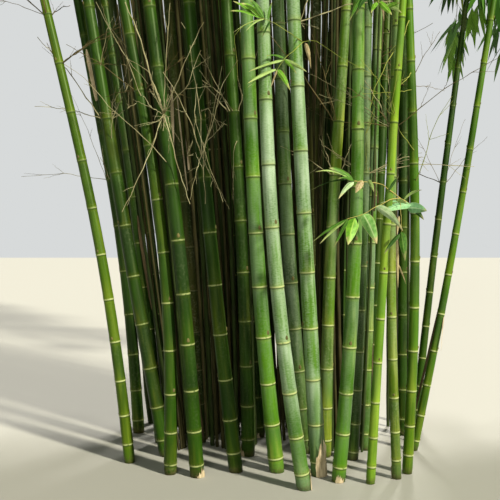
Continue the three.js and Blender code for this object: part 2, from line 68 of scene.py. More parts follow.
# Each culm's foot (x, y), its width there, its sideways lean in degrees at the foot and where it stands
# clear, its kind, and the skin it has. They are numbered from 1.
CULMS = [
    (0.000, 0.000, 0.100, -5.5, -2.2, LEAFY, "waxy_dark"),
    (-1.160, -0.220, 0.072, -6, -13, LEAFY, "yellow_green"),
    (-1.220, 0.520, 0.088, -4, -11, LEAFY, "deep_green"),
    (-0.940, -0.070, 0.094, -10.5, -9, LEAFY, "deep_green"),
    (-0.870, -0.450, 0.080, 1, -10, LEAFY, "leaf_green_painted_shade"),
    (-0.700, -0.500, 0.089, -3.5, -7, LEAFY, "leaf_green_painted_shade"),
    (-0.465, -0.410, 0.090, -6.6, -4.8, LEAFY, "leaf_green_painted_shade"),
    (-0.390, -0.070, 0.090, -1, -4, LEAFY, "deep_green"),
    (-0.210, -0.410, 0.096, -6.1, -2, LEAFY, "waxy_fresh"),
    (-0.065, -0.730, 0.086, -9, -1.8, LEAFY, "waxy_pale"),
    (0.045, -0.480, 0.097, -3.7, -3.1, LEAFY, "waxy_pale"),
    (0.125, -0.090, 0.084, 0.8, 3.9, LEAFY, "yellowing"),
    (0.150, -0.590, 0.085, 4.6, -0.2, LEAFY, "waxy_fresh"),
    (0.300, -0.160, 0.073, 2.9, 0.8, LEAFY, "waxy_dark"),
    (0.420, 0.070, 0.074, 1.3, 1.9, LEAFY, "waxy_green"),
    (0.335, -0.630, 0.055, 2.6, 3.6, YOUNG, "lime"),
    (0.510, -0.540, 0.058, -3, 1.2, LEAFY, "yellowing"),
    (0.595, -0.440, 0.064, 2.4, -2.6, LEAFY, "fresh_green"),
    (0.920, 0.730, 0.062, 7, 8, LEAFY, "leaf_green_painted_shade"),
    (0.750, 0.050, 0.056, 11.5, 9, YOUNG, "fresh_green"),
    (0.100, 0.170, 0.092, -1.8, 0.9, DEAD, "dead_green"),
    (-1.020, 0.250, 0.082, -5.5, -8.5, YOUNG, "deep_green"),
    (-0.740, 0.260, 0.092, -3, -4.8, DEAD, "dead_green"),
    (-0.560, 0.560, 0.094, -1.5, -4.5, LEAFY, "deep_green"),
    (0.275, 0.360, 0.088, 1, 2.5, YOUNG, "deep_green"),
    (0.765, 0.460, 0.088, 0.5, 0.5, LEAFY, "deep_green"),
    (-0.460, 0.880, 0.092, -2.5, -4, LEAFY, "deep_green"),
    (-0.665, 0.460, 0.090, -2.5, -4, DEAD, "dead_brown"),
    (-0.310, 0.400, 0.090, -3, -3.5, LEAFY, "deep_green"),
    (0.200, 0.950, 0.092, 2, 2.5, LEAFY, "leaf_green_painted_shade"),
    (0.590, 0.860, 0.092, 3, 3, LEAFY, "leaf_green_painted_shade"),
    (-1.025, 0.780, 0.084, -5.5, -7.5, YOUNG, "leaf_green_painted_shade"),
]

# How the clump and its culms grow, in metres and degrees. A pair of numbers is the least and the most.
CLUMP_MIDDLE = (-0.120, 0.150)
CLUMP_RADIUS = 1.1
TALL_LENGTH = 13
TALL_WIDTH = 0.092
WIDTH_POWER = 0.6
SHORTER_RIM = 0.1
LENGTH_SPREAD = (0.94, 1.06)
DEAD_LENGTH = (3.74, 5.5)
TAPER = 0.94
TAPER_POWER = 1.1
LEAFY_FROM = 0.34
STEP = 0.05
STAND_HEIGHT = 2.5
DEPTH_LEAN = 4.5
DEPTH_LEAN_FOOT = 5.85
ARCH_FROM = 3
ARCH_POWER_MIDDLE = 3.6
ARCH_POWER_RIM = 2.1
ARCH_WANDER = (-20, 20)
NOD_LEAST = 44
NOD_MORE = 28
NOD_SPREAD = (0.85, 1.15)
LEAN_SPENT = 2.2
FIRST_JOINT = (0.054, 0.126)
INTERNODE = 0.4
INTERNODE_SPREAD = (0.92, 1.08)
SHORTER_AT_FOOT = 0.6
FOOT_JOINTS = 3.5
SHORTER_AT_TIP = 0.5
LAST_JOINT = 0.1
TINY = 1e-12
CHANCE_SIZE = 2.0**32
CHANCE_START = 2166136261
CHANCE_STEPS = ((73244475, 15), (461845907, 13))


# The same number from 0 to 1 each time for the same whole numbers, or an array of them for arrays. Each
# kind of draw has a whole number of its own, which is most often the last one in the call.
def chance(*keys):
    mixed = np.uint64(CHANCE_START)
    for key in keys:
        mixed = mixed ^ np.asarray(key).astype(np.uint64)
        for factor, shift in CHANCE_STEPS:
            mixed = mixed * np.uint64(factor) & np.uint64(CHANCE_SIZE - 1)
            mixed = mixed ^ (mixed >> np.uint64(shift))
    return mixed / CHANCE_SIZE


def mix(a, b, share):
    return a + (b - a) * share


# A value between a pair of limits, by chance.
def between(limits, *keys):
    return mix(limits[0], limits[1], chance(*keys))


# Vectors made one long.
def unit(vectors):
    return vectors / np.maximum(np.linalg.norm(vectors, axis=-1, keepdims=True), TINY)


# The course of one culm: how it leans and arches, how thick it is, and where its joints are.
class Culm:
    def __init__(self, number, row):
        x, y, self.width, lean_foot, lean_stand, self.kind, self.skin = row
        dx, dy = x - CLUMP_MIDDLE[0], y - CLUMP_MIDDLE[1]
        out = min(1, math.hypot(dx, dy) / CLUMP_RADIUS)
        turn = math.atan2(dy, dx) + math.radians(between(ARCH_WANDER, number, 1))
        size = (self.width / TALL_WIDTH) ** WIDTH_POWER * between(LENGTH_SPREAD, number, 2)
        nod = mix(NOD_LEAST, NOD_LEAST + NOD_MORE, out) * between(NOD_SPREAD, number, 4)
        self.number = number
        self.name = f"culm_{number:02d}"
        self.full_length = TALL_LENGTH * size * (1 - SHORTER_RIM * out)
        self.length = between(DEAD_LENGTH, number, 3) if self.kind == DEAD else self.full_length
        self.arch_power = mix(ARCH_POWER_MIDDLE, ARCH_POWER_RIM, out)
        self.nod = (nod - LEAN_SPENT * abs(lean_stand)) * np.array([math.cos(turn), math.sin(turn)])
        self.lean_foot = np.array([lean_foot, DEPTH_LEAN_FOOT * dy / CLUMP_RADIUS])
        self.lean_stand = np.array([lean_stand, DEPTH_LEAN * dy / CLUMP_RADIUS])
        self.twist = 360 * chance(number, 5)
        middles = np.arange(STEP / 2, self.full_length + STEP, STEP)
        steps = self.axes_at(middles)[2] * STEP
        self.points = np.vstack([[x, y, 0], [x, y, 0] + np.cumsum(steps, axis=0)])
        self.joints = self.place_joints()
        self.end = self.length
        if self.kind == LEAFY:
            self.end = self.joints[self.joints > LEAFY_FROM * self.full_length][0]

    # Three unit vectors at distances along the culm: two across it, and the way it grows.
    def axes_at(self, along):
        along = np.asarray(along, float)[..., None]
        stood = np.clip(along / STAND_HEIGHT, 0, 1)
        arched = np.clip((along - ARCH_FROM) / (self.full_length - ARCH_FROM), 0, 1) ** self.arch_power
        lean = mix(self.lean_foot, self.lean_stand, stood * stood * (3 - 2 * stood)) + self.nod * arched
        angle = np.radians(np.linalg.norm(lean, axis=-1))
        hx, hy = np.moveaxis(unit(lean), -1, 0)
        dip, level = np.sin(angle), np.cos(angle)
        down = np.stack([hx * level, hy * level, -dip], -1)
        flat = np.stack([-hy, hx, np.zeros_like(hx)], -1)
        across = hx[..., None] * down - hy[..., None] * flat
        over = hy[..., None] * down + hx[..., None] * flat
        return across, over, np.stack([hx * dip, hy * dip, level], -1)

    # Points on the culm's middle line, and how thick the culm is there.
    def point_at(self, along):
        marks = STEP * np.arange(len(self.points))
        return np.stack([np.interp(along, marks, self.points[:, i]) for i in range(3)], -1)

    def radius_at(self, along):
        return self.width / 2 * (1 - TAPER * np.clip(along / self.full_length, 0, 1) ** TAPER_POWER)

    # Distances along the culm to its joints. Internodes are short at the foot and again near the tip.
    def place_joints(self):
        joints = []
        along = between(FIRST_JOINT, self.number, 7)
        internode = INTERNODE * math.sqrt(self.width / TALL_WIDTH)
        internode *= between(INTERNODE_SPREAD, self.number, 6)
        while along < self.full_length - LAST_JOINT:
            joints.append(along)
            risen = 1 - SHORTER_AT_FOOT * math.exp(-len(joints) / FOOT_JOINTS)
            high = 1 - SHORTER_AT_TIP * (along / self.full_length) ** 2
            along += internode * risen * high
        return np.array(joints)


culms = [Culm(i + 1, row) for i, row in enumerate(CULMS)]

# A culm's surface round a joint: how far from the joint each ring of points is, and how much wider the
# culm is there. Below the joint is the scar that the fallen sheath left, and above it a soft ridge.
JOINT_RELIEF = [
    (-0.060, 0.996),
    (-0.022, 0.984),
    (-0.007, 0.994),
    (-0.003, 1.042),
    (0.002, 1.048),
    (0.005, 1.010),
    (0.012, 1.036),
    (0.022, 1.022),
    (0.050, 0.994),
]
SMALL_JOINT_RELIEF = [(-0.008, 1.0), (0.0, 1.05), (0.010, 1.0)]
BELLY = 1.008
LOW_SIDES = 24
HIGH_SIDES = 10
CLOSE_HEIGHT = 4.6
JOINT_REACH = 0.15
NEAR_RING = 0.1
APART = 3.7
WALL_SHARE = 0.13
BREAK_DEPTH = 0.35
BREAK_JAG = 0.11
BREAK_DIP = -0.6
FOOT_NARROWING = 0.94
FOOT_RISE = 0.04
JOINT_UNDER_GROUND = -0.2
NO_JOINT = 99


# The rings of points on a stretch of culm: how far along each is, and how much wider the culm is there.
def rings_of(culm, start, end, relief):
    rings = []
    marks = [JOINT_UNDER_GROUND, *culm.joints, culm.full_length]
    for lower, upper in itertools.pairwise(marks):
        if relief is JOINT_RELIEF:
            rings.append((mix(lower, upper, 0.5), BELLY))
        rings += [(upper + offset, wider) for offset, wider in relief]
    inside = sorted(ring for ring in rings if start + FOOT_RISE < ring[0] < end)
    first = [(0.0, FOOT_NARROWING), (FOOT_RISE, 1.0)] if start == 0 else [(start, 1.0)]
    return np.array(first + inside + [(end, 1.0)])


# The points of rings round a culm, and for each its place on the culm as if that were straight, its
# distance from the nearest joint, how close it is below or above one, and a chance for its internode.
def skin_points(culm, along, radius, sides):
    across, over, _ = culm.axes_at(along)
    level = along <= 0
    across[level] = [1, 0, 0]
    over[level] = [0, 1, 0]
    turn = np.arange(sides) * 2 * np.pi / sides
    ring = np.stack([np.cos(turn), np.sin(turn)], -1)
    points = culm.point_at(along)[:, None] + radius[:, None, None] * (
        ring[None, :, :1] * across[:, None] + ring[None, :, 1:] * over[:, None]
    )
    straight = np.empty_like(points)
    straight[..., :2] = radius[:, None, None] * ring
    straight[..., 0] += APART * culm.number
    straight[..., 2] = along[:, None]
    after = np.searchsorted(culm.joints, along)
    below = np.append(culm.joints, NO_JOINT)[after] - along
    above = along - np.insert(culm.joints, 0, -NO_JOINT)[after]
    near = np.minimum(np.minimum(below, above), NEAR_RING)
    marks = [near, np.clip(1 - below / JOINT_REACH, 0, 1), np.clip(1 - above / JOINT_REACH, 0, 1)]
    marks.append(chance(culm.number, after, 52))
    return points, straight, [np.repeat(mark[:, None], sides, axis=1) for mark in marks]


# The four-sided faces of a tube of rings, whose points start at a number.
def tube_faces(rings, sides, start=0):
    ring, side = np.meshgrid(np.arange(rings - 1), np.arange(sides), indexing="ij")
    near = start + ring * sides + side
    far = start + ring * sides + (side + 1) % sides
    return np.stack([near, far, far + sides, near + sides], -1).reshape(-1, 4).tolist()


# A smooth mesh that stands on the ground with the whole plant.
def make_piece(name, points, faces, skins):
    mesh = bpy.data.meshes.new(name)
    mesh.from_pydata(np.asarray(points).reshape(-1, 3).tolist(), [], faces)
    mesh.polygons.foreach_set("use_smooth", [True] * len(mesh.polygons))
    for skin in skins:
        mesh.materials.append(skin)
    piece = bpy.data.objects.new(name, mesh)
    bpy.context.scene.collection.objects.link(piece)
    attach(piece, "root")
    return piece


# Values for a piece's points, which its skin reads.
def add_attribute(piece, name, kind, values):
    attribute = piece.data.attributes.new(name, kind, "POINT")
    attribute.data.foreach_set("vector" if kind == "FLOAT_VECTOR" else "value", np.ravel(values))


# A node in a tree, with its inputs given as numbers or colours, or as the sockets they come from. An
# input is named, or numbered as in n0.
def add_node(tree, kind, settings=None, **inputs):
    made = tree.nodes.new(kind)
    for name, value in (settings or {}).items():
        setattr(made, name, value)
    for name, value in inputs.items():
        socket = made.inputs[int(name[1:])] if name[1:].isdigit() else made.inputs[name]
        if isinstance(value, bpy.types.NodeSocket):
            tree.links.new(value, socket)
        else:
            socket.default_value = value
    return made


def blend_colors(tree, share, under, over):
    blend = add_node(tree, "ShaderNodeMix", {"data_type": "RGBA"}, n0=share, n6=under, n7=over)
    return blend.outputs[2]


def times(tree, a, b):
    return add_node(tree, "ShaderNodeMath", {"operation": "MULTIPLY"}, n0=a, n1=b).outputs[0]


# A value times a share, and a third value added to it.
def add_share(tree, value, share, base):
    made = add_node(tree, "ShaderNodeMath", {"operation": "MULTIPLY_ADD"}, n0=value, n1=share, n2=base)
    return made.outputs[0]


# A soft step from 0 to 1 as a value goes from low to high, or from 1 to 0 where low is the higher.
def soft_step(tree, value, low, high):
    smooth = {"interpolation_type": "SMOOTHSTEP"}
    return add_node(tree, "ShaderNodeMapRange", smooth, n0=value, n1=low, n2=high).outputs[0]


# A place multiplied by a share for each of its axes.
def stretched(tree, place, shares):
    return add_node(tree, "ShaderNodeVectorMath", {"operation": "MULTIPLY"}, n0=place, n1=shares).outputs[0]


# Noise on something straightened, of so many waves a metre round it and stretched along it.
def grown_noise(tree, place, waves, stretch, detail=2.0):
    place = stretched(tree, place, (1, 1, 1 / stretch))
    return add_node(tree, "ShaderNodeTexNoise", Vector=place, Scale=waves, Detail=detail).outputs[0]


def read_attribute(tree, name, output):
    return add_node(tree, "ShaderNodeAttribute", {"attribute_name": name}).outputs[output]


# A node group with its sockets named: what a material gives it, and what it gives back.
def start_group(name, inputs, outputs):
    tree = bpy.data.node_groups.new(name, "ShaderNodeTree")
    for socket, kind, value in inputs:
        tree.interface.new_socket(socket, in_out="INPUT", socket_type=kind).default_value = value
    for socket, kind in outputs:
        tree.interface.new_socket(socket, in_out="OUTPUT", socket_type=kind)
    return tree, tree.nodes.new("NodeGroupInput").outputs


def end_group(tree, **results):
    given_back = tree.nodes.new("NodeGroupOutput")
    for name, socket in results.items():
        tree.links.new(socket, given_back.inputs[name])


COLOR = "NodeSocketColor"
VALUE = "NodeSocketFloat"
SURFACE = [("Color", COLOR), ("Roughness", VALUE), ("Height", VALUE)]
# The pale bloom, which also paints the patches of sunlight.
BLOOM_AND_PAINTED_SUN_COLOR = (0.36, 0.46, 0.33, 1)
LICHEN_COLOR = (0.30, 0.33, 0.20, 1)
SOIL_COLOR = (0.09, 0.07, 0.03, 1)
# Painted shade in the groove under each joint ring.
PAINTED_GROOVE_SHADE = (0.02, 0.045, 0.008, 1)


# The skin of a culm: streaked and clouded green that yellows in patches, the bloom that thickens under
# each joint, whose pale patches are partly painted sunlight, lichen spots, wrinkles with painted shade
# in them, the pale scar ring, faded higher up as painted shade, with a band of painted shade in the
# groove under it, and soil at the foot.
def build_culm_skin():
    tree, given = start_group(
        "culm_skin",
        [
            ("Green", COLOR, (0.05, 0.12, 0.008, 1)),
            ("Shade", COLOR, (0.02, 0.05, 0.005, 1)),
            ("Yellow", COLOR, (0.3, 0.32, 0.04, 1)),
            ("Ring", COLOR, (0.34, 0.38, 0.16, 1)),
            ("Yellowing", VALUE, 0.2),
            ("Bloom", VALUE, 0.2),
            ("Waxed", VALUE, 0.0),
            ("Lichen", VALUE, 0.2),
            ("Gloss", VALUE, 0.35),
        ],
        SURFACE,
    )
    place = read_attribute(tree, "straight", "Vector")
    near = read_attribute(tree, "near_ring", "Fac")
    below = read_attribute(tree, "below_joint", "Fac")
    above = read_attribute(tree, "above_joint", "Fac")
    own = read_attribute(tree, "internode", "Fac")
    height = add_node(tree, "ShaderNodeSeparateXYZ", Vector=place).outputs["Z"]
    clouds = grown_noise(tree, place, 9, 4)
    fibres = grown_noise(tree, place, 260, 60, 3)
    streaks = grown_noise(tree, place, 50, 14)
    bands = grown_noise(tree, place, 60, 0.25, 1)

    # Clouds, streaks and fine fibres of two greens, each internode a little lighter or darker.
    tone = add_share(tree, own, 0.16, add_share(tree, streaks, 0.25, clouds))
    color = blend_colors(tree, soft_step(tree, tone, 0.54, 0.86), given["Green"], given["Shade"])
    color = blend_colors(tree, times(tree, soft_step(tree, fibres, 0.42, 0.72), 0.45), color, given["Shade"])

    # Yellow patches, most of all just above a joint.
    yellow = add_share(tree, streaks, 0.5, times(tree, grown_noise(tree, place, 5, 3), 0.9))
    yellow = add_share(tree, above, 0.08, yellow)
    yellow = soft_step(tree, add_share(tree, given["Yellowing"], 0.6, yellow), 0.78, 1.25)
    color = blend_colors(tree, yellow, color, given["Yellow"])

    # Waxy bloom, patchy and rubbed off in bands, thicker below a joint and thin at the foot. Its pale
    # patches are partly painted sunlight, standing for dapples of sun on the culm.
    patchy_and_painted_sun = soft_step(tree, grown_noise(tree, place, 7, 4, 3), 0.46, 0.66)
    rubbed_and_painted_sun = soft_step(tree, add_share(tree, bands, 0.6, times(tree, streaks, 0.8)), 0.55, 0.85)
    bloom_and_painted_sun = add_share(tree, patchy_and_painted_sun, 0.5, add_share(tree, rubbed_and_painted_sun, 0.4, -0.14))
    bloom_and_painted_sun = add_share(tree, below, 0.25, add_share(tree, own, 0.22, bloom_and_painted_sun))
    bloom_and_painted_sun = add_share(tree, bloom_and_painted_sun, given["Bloom"], given["Waxed"])
    bloom_and_painted_sun = times(tree, bloom_and_painted_sun, add_share(tree, soft_step(tree, height, 0.1, 0.8), 0.75, 0.25))
    color = blend_colors(tree, bloom_and_painted_sun, color, BLOOM_AND_PAINTED_SUN_COLOR)

    # Spots of lichen, in patches.
    spots = add_node(tree, "ShaderNodeTexNoise", Vector=place, Scale=70.0, Detail=4.0).outputs[0]
    patches = grown_noise(tree, place, 6, 2)
    lichen = times(tree, soft_step(tree, spots, 0.50, 0.64), soft_step(tree, patches, 0.4, 0.7))
    lichen = times(tree, lichen, given["Lichen"])
    color = blend_colors(tree, lichen, color, LICHEN_COLOR)

    # At a joint: wrinkles under it, a yellow swell, and a band of painted shade in the groove under the
    # worn pale ring.
    # Painted shade: the wrinkles are darkened with the shade green, as shade in their creases.
    wrinkle_with_painted_shade = times(tree, soft_step(tree, bands, 0.56, 0.68), add_share(tree, below, 0.35, 0.08))
    color = blend_colors(tree, wrinkle_with_painted_shade, color, given["Shade"])
    swell = times(tree, soft_step(tree, near, 0.034, 0.006), 0.24)
    color = blend_colors(tree, swell, color, given["Yellow"])
    painted_groove_shade = times(tree, soft_step(tree, near, 0.016, 0.006), times(tree, below, 0.85))
    color = blend_colors(tree, painted_groove_shade, color, PAINTED_GROOVE_SHADE)
    # The ring is worn in patches, and fades from 1 m to 2.2 m up as painted shade under the crown.
    wear_and_painted_high_shade = soft_step(tree, grown_noise(tree, place, 40, 1), 0.22, 0.5)
    wear_and_painted_high_shade = times(tree, wear_and_painted_high_shade, add_share(tree, soft_step(tree, height, 2.2, 1.0), 0.84, 0.16))
    ring = times(tree, soft_step(tree, near, 0.0062, 0.0032), wear_and_painted_high_shade)
    color = blend_colors(tree, ring, color, given["Ring"])

    # Soil splashed on the foot.
    soil = times(tree, soft_step(tree, height, 0.07, 0.0), soft_step(tree, spots, 0.3, 0.6))
    color = blend_colors(tree, times(tree, soil, 0.7), color, SOIL_COLOR)

    # Bloom, with its painted sun patches, and lichen are dull, and lichen stands up while wrinkles sink in.
    rough = add_share(tree, bloom_and_painted_sun, 0.3, given["Gloss"])
    rough = add_share(tree, lichen, 0.25, rough)
    rough = add_share(tree, streaks, 0.12, rough)
    relief = add_share(tree, lichen, 0.7, times(tree, fibres, 0.4))
    relief = add_share(tree, wrinkle_with_painted_shade, -0.5, relief)
    end_group(tree, Color=color, Roughness=rough, Height=relief)
    return tree


CULM_SKIN = build_culm_skin()
SKIN_BUMP = 0.0007
SKIN_SHINE = 0.18
SHINE_TINT = (0.8, 1, 0.55, 1)
BUMP_STRENGTH = 0.6


# A material whose colour, roughness and relief come from a node group.
def grouped_material(name, group, bump, shine, **values):
    material = bpy.data.materials.new(name)
    material.use_nodes = True
    tree = material.node_tree
    shader = tree.nodes["Principled BSDF"]
    shader.inputs["Specular IOR Level"].default_value = shine
    shader.inputs["Specular Tint"].default_value = SHINE_TINT
    effect = add_node(tree, "ShaderNodeGroup", {"node_tree": group})
    for socket, value in values.items():
        effect.inputs[socket].default_value = (*value, 1) if isinstance(value, tuple) else value
    height = effect.outputs["Height"]
    relief = add_node(tree, "ShaderNodeBump", Strength=BUMP_STRENGTH, Distance=bump, Height=height)
    tree.links.new(effect.outputs["Color"], shader.inputs["Base Color"])
    tree.links.new(effect.outputs["Roughness"], shader.inputs["Roughness"])
    tree.links.new(relief.outputs[0], shader.inputs["Normal"])
    return material


# The skins that the culms have, by age and wax. The leaf green one is also darkened as painted shade
# from the crown over the culms at the left and at the back.
CULM_COLORS = {
    "fresh_green": dict(
        Green=(0.050, 0.135, 0.004), Shade=(0.020, 0.062, 0.002),
        Yellow=(0.16, 0.22, 0.01), Yellowing=0.25, Bloom=0.04, Lichen=0.06,
    ),
    # Darkened as painted shade of the crown above.
    "leaf_green_painted_shade": dict(
        Green=(0.017, 0.052, 0.002), Shade=(0.006, 0.023, 0.001),
        Yellow=(0.065, 0.10, 0.005), Ring=(0.25, 0.28, 0.11), Yellowing=0.2, Bloom=0.02, Lichen=0.05,
    ),
    "deep_green": dict(
        Green=(0.021, 0.060, 0.003), Shade=(0.007, 0.024, 0.001),
        Yellow=(0.08, 0.10, 0.006), Ring=(0.17, 0.20, 0.07), Yellowing=0.1, Bloom=0.02, Lichen=0.08,
    ),
    "lime": dict(
        Green=(0.105, 0.225, 0.008), Shade=(0.052, 0.125, 0.004),
        Yellow=(0.25, 0.36, 0.02), Yellowing=0.3, Bloom=0.08, Lichen=0.05,
    ),
    "yellow_green": dict(
        Green=(0.046, 0.100, 0.003), Shade=(0.020, 0.050, 0.002),
        Yellow=(0.12, 0.17, 0.008), Yellowing=0.3, Bloom=0.02, Lichen=0.04,
    ),
    "waxy_fresh": dict(
        Green=(0.060, 0.165, 0.006), Shade=(0.026, 0.085, 0.003),
        Yellow=(0.20, 0.28, 0.02), Yellowing=0.15, Bloom=0.3, Lichen=0.08,
    ),
    "waxy_green": dict(
        Green=(0.055, 0.140, 0.007), Shade=(0.026, 0.075, 0.004),
        Yellow=(0.20, 0.26, 0.02), Yellowing=0.2, Bloom=0.4, Lichen=0.15,
    ),
    "waxy_dark": dict(
        Green=(0.032, 0.082, 0.006), Shade=(0.013, 0.036, 0.003),
        Yellow=(0.12, 0.16, 0.02), Ring=(0.22, 0.25, 0.11), Yellowing=0.1, Bloom=0.32, Lichen=0.2,
    ),
    "waxy_pale": dict(
        Green=(0.070, 0.170, 0.015), Shade=(0.034, 0.095, 0.010),
        Yellow=(0.22, 0.28, 0.03), Yellowing=0.05, Bloom=0.85, Waxed=0.08, Lichen=0.15,
    ),
    "yellowing": dict(
        Green=(0.074, 0.160, 0.007), Shade=(0.036, 0.078, 0.004),
        Yellow=(0.22, 0.26, 0.02), Yellowing=0.3, Bloom=0.25, Lichen=0.25,
    ),
    "dead_green": dict(
        Green=(0.028, 0.052, 0.006), Shade=(0.011, 0.020, 0.003),
        Yellow=(0.09, 0.08, 0.02), Ring=(0.16, 0.16, 0.08), Yellowing=0.35, Bloom=0.05, Lichen=0.4, Gloss=0.6,
    ),
    "dead_brown": dict(
        Green=(0.030, 0.025, 0.012), Shade=(0.011, 0.010, 0.005),
        Yellow=(0.09, 0.068, 0.032), Ring=(0.08, 0.065, 0.035), Yellowing=0.3, Bloom=0, Lichen=0.3, Gloss=0.7,
    ),
}
SKINS = {
    name: grouped_material(f"{name}_culm", CULM_SKIN, SKIN_BUMP, SKIN_SHINE, **values)
    for name, values in CULM_COLORS.items()
}
SLOT_OF_KIND = {LEAFY: "culm_green", YOUNG: "culm_young", DEAD: "culm_dead"}


# A dead culm's snapped top: a splintered rim, and the hollow down to the joint inside it.
def snap_top(culm, points, straight, sides):
    first = len(points) - sides
    inner = culm.radius_at(culm.length) * (1 - WALL_SHARE)
    along = np.array([culm.length, culm.length - BREAK_DEPTH])
    wall, wall_straight, _ = skin_points(culm, along, np.array([inner, inner]), sides)
    jag = BREAK_JAG * (2 * chance(culm.number, np.arange(sides), 51) - 1)
    jag[1::2] *= BREAK_DIP
    rise = culm.axes_at(np.array([culm.length]))[2][0] * jag[:, None]
    points[first:] += rise
    wall[0] += rise
    start = len(points)
    side = np.arange(sides)
    after = (side + 1) % sides
    rim = np.stack([first + side, first + after, start + after, start + side], -1).tolist()
    floor = [(start + sides + side).tolist()]
    faces = rim + tube_faces(2, sides, start) + floor
    points = np.vstack([points, wall.reshape(-1, 3)])
    return points, np.vstack([straight, wall_straight.reshape(-1, 3)]), faces


# A culm's skin. Its close part has many sides and finely formed joints, and the part above it has few.
def make_culm(culm):
    low_end = min(culm.end, CLOSE_HEIGHT) if culm.kind == YOUNG else culm.end
    rings = rings_of(culm, 0.0, low_end, JOINT_RELIEF)
    along, wider = rings[:, 0], rings[:, 1]
    points, straight, marks = skin_points(culm, along, culm.radius_at(along) * wider, LOW_SIDES)
    faces = tube_faces(len(along), LOW_SIDES) + [list(range(LOW_SIDES))[::-1]]
    points, straight = points.reshape(-1, 3), straight.reshape(-1, 3)
    marks = [mark.ravel() for mark in marks]
    if culm.kind == DEAD:
        points, straight, top_faces = snap_top(culm, points, straight, LOW_SIDES)
        faces += top_faces
        marks = [np.append(mark, np.full(2 * LOW_SIDES, mark[-1])) for mark in marks]
    else:
        rings = rings_of(culm, low_end, culm.full_length, SMALL_JOINT_RELIEF)
        along, radius = rings[:, 0], culm.radius_at(rings[:, 0]) * rings[:, 1]
        high = skin_points(culm, along, radius, HIGH_SIDES)
        faces += tube_faces(len(along), HIGH_SIDES, len(points))
        points = np.vstack([points, high[0].reshape(-1, 3)])
        straight = np.vstack([straight, high[1].reshape(-1, 3)])
        marks = [np.append(mark, more.ravel()) for mark, more in zip(marks, high[2])]
    piece = make_piece(culm.name + "_skin", points, faces, [SKINS[culm.skin]])
    add_attribute(piece, "straight", "FLOAT_VECTOR", straight)
    for name, mark in zip(("near_ring", "below_joint", "above_joint", "internode"), marks):
        add_attribute(piece, name, "FLOAT", mark)
    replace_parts(piece, culm.name)


for culm in culms:
    make_culm(culm)


# The buds: at each joint one flat pointed bud sits on the culm under a dry brown scale, on one side and
# then on the other. The lowest joints have a ring of small root nubs instead.
BUD_HEIGHT = 0.034
BUD_WIDTH = 0.024
BUD_PROUD = 0.006
BUD_POINTS = 6
BUD_ABOVE_JOINT = 0.012
BUD_SUNK = 0.0015
BUD_POINTED = 0.3
BUD_ASTRAY = (-7, 7)
NUB_JOINTS = 2
NUBS_ROUND = 17
NUB_WIDTH = 0.007
NUB_POINTS = 4
NUB_ABOVE_JOINT = (0.008, 0.014)
FIBRE_BUMP = 0.0006
FIBRE_SHINE = 0.2


# The pattern of dry plant stuff: fine pale and dark fibres, and weathered blotches.
def build_dry_fibre():
    tree, given = start_group(
        "dry_fibre",
        [
            ("Pale", COLOR, (0.4, 0.3, 0.16, 1)),
            ("Dark", COLOR, (0.12, 0.08, 0.04, 1)),
            ("Mould", COLOR, (0.03, 0.025, 0.02, 1)),
            ("Mouldy", VALUE, 0.3),
        ],
        SURFACE,
    )
    place = read_attribute(tree, "straight", "Vector")
    fibres = grown_noise(tree, place, 420, 60, 3)
    blotches = grown_noise(tree, place, 22, 3, 3)
    share = add_share(tree, fibres, 0.9, times(tree, blotches, 0.8))
    color = blend_colors(tree, soft_step(tree, share, 0.6, 1.1), given["Dark"], given["Pale"])
    mould = times(tree, soft_step(tree, grown_noise(tree, place, 35, 4, 4), 0.5, 0.7), given["Mouldy"])
    color = blend_colors(tree, mould, color, given["Mould"])
    rough = add_share(tree, fibres, 0.2, add_share(tree, mould, 0.1, 0.6))
    end_group(tree, Color=color, Roughness=rough, Height=fibres)
    return tree


DRY_FIBRE = build_dry_fibre()


# Dry plant stuff of a pale and a dark colour, with its share of mould.
def dry_material(name, pale, dark, mouldy, bump=FIBRE_BUMP):
    return grouped_material(name, DRY_FIBRE, bump, FIBRE_SHINE, Pale=pale, Dark=dark, Mouldy=mouldy)


BUD_SCALE = dry_material("bud_scale", (0.16, 0.13, 0.05), (0.06, 0.06, 0.02), 0.3)


# Shapes joined into one. Each has its points and its faces, and may have more values for its points.
def joined(shapes):
    starts = np.cumsum([0] + [len(shape[0]) for shape in shapes[:-1]])
    faces = np.concatenate([shape[1] + start for shape, start in zip(shapes, starts)])
    points, *values = [np.concatenate(column) for i, column in enumerate(zip(*shapes)) if i != 1]
    return points, faces, *values


# The four-sided faces of a sheet of points in rows and columns.
def sheet_faces(rows, columns):
    corner = (np.arange(rows - 1)[:, None] * columns + np.arange(columns - 1)).ravel()
    return np.stack([corner, corner + 1, corner + columns + 1, corner + columns], -1)


# A piece of shapes that have their places along the plant as their third value.
def make_grown_piece(name, shapes, skin):
    points, faces, straight = joined(shapes)
    piece = make_piece(name, points, faces.tolist(), [skin])
    add_attribute(piece, "straight", "FLOAT_VECTOR", straight)
    return piece


# Points at turns round a culm and distances from its middle, and their places as if it were straight.
def points_round(culm, along, turn, radius):
    across, over, _ = culm.axes_at(along)
    outward = across * np.cos(turn)[..., None] + over * np.sin(turn)[..., None]
    straight = np.stack([radius * np.cos(turn) + APART * culm.number, radius * np.sin(turn), along], -1)
    return culm.point_at(along) + radius[..., None] * outward, straight


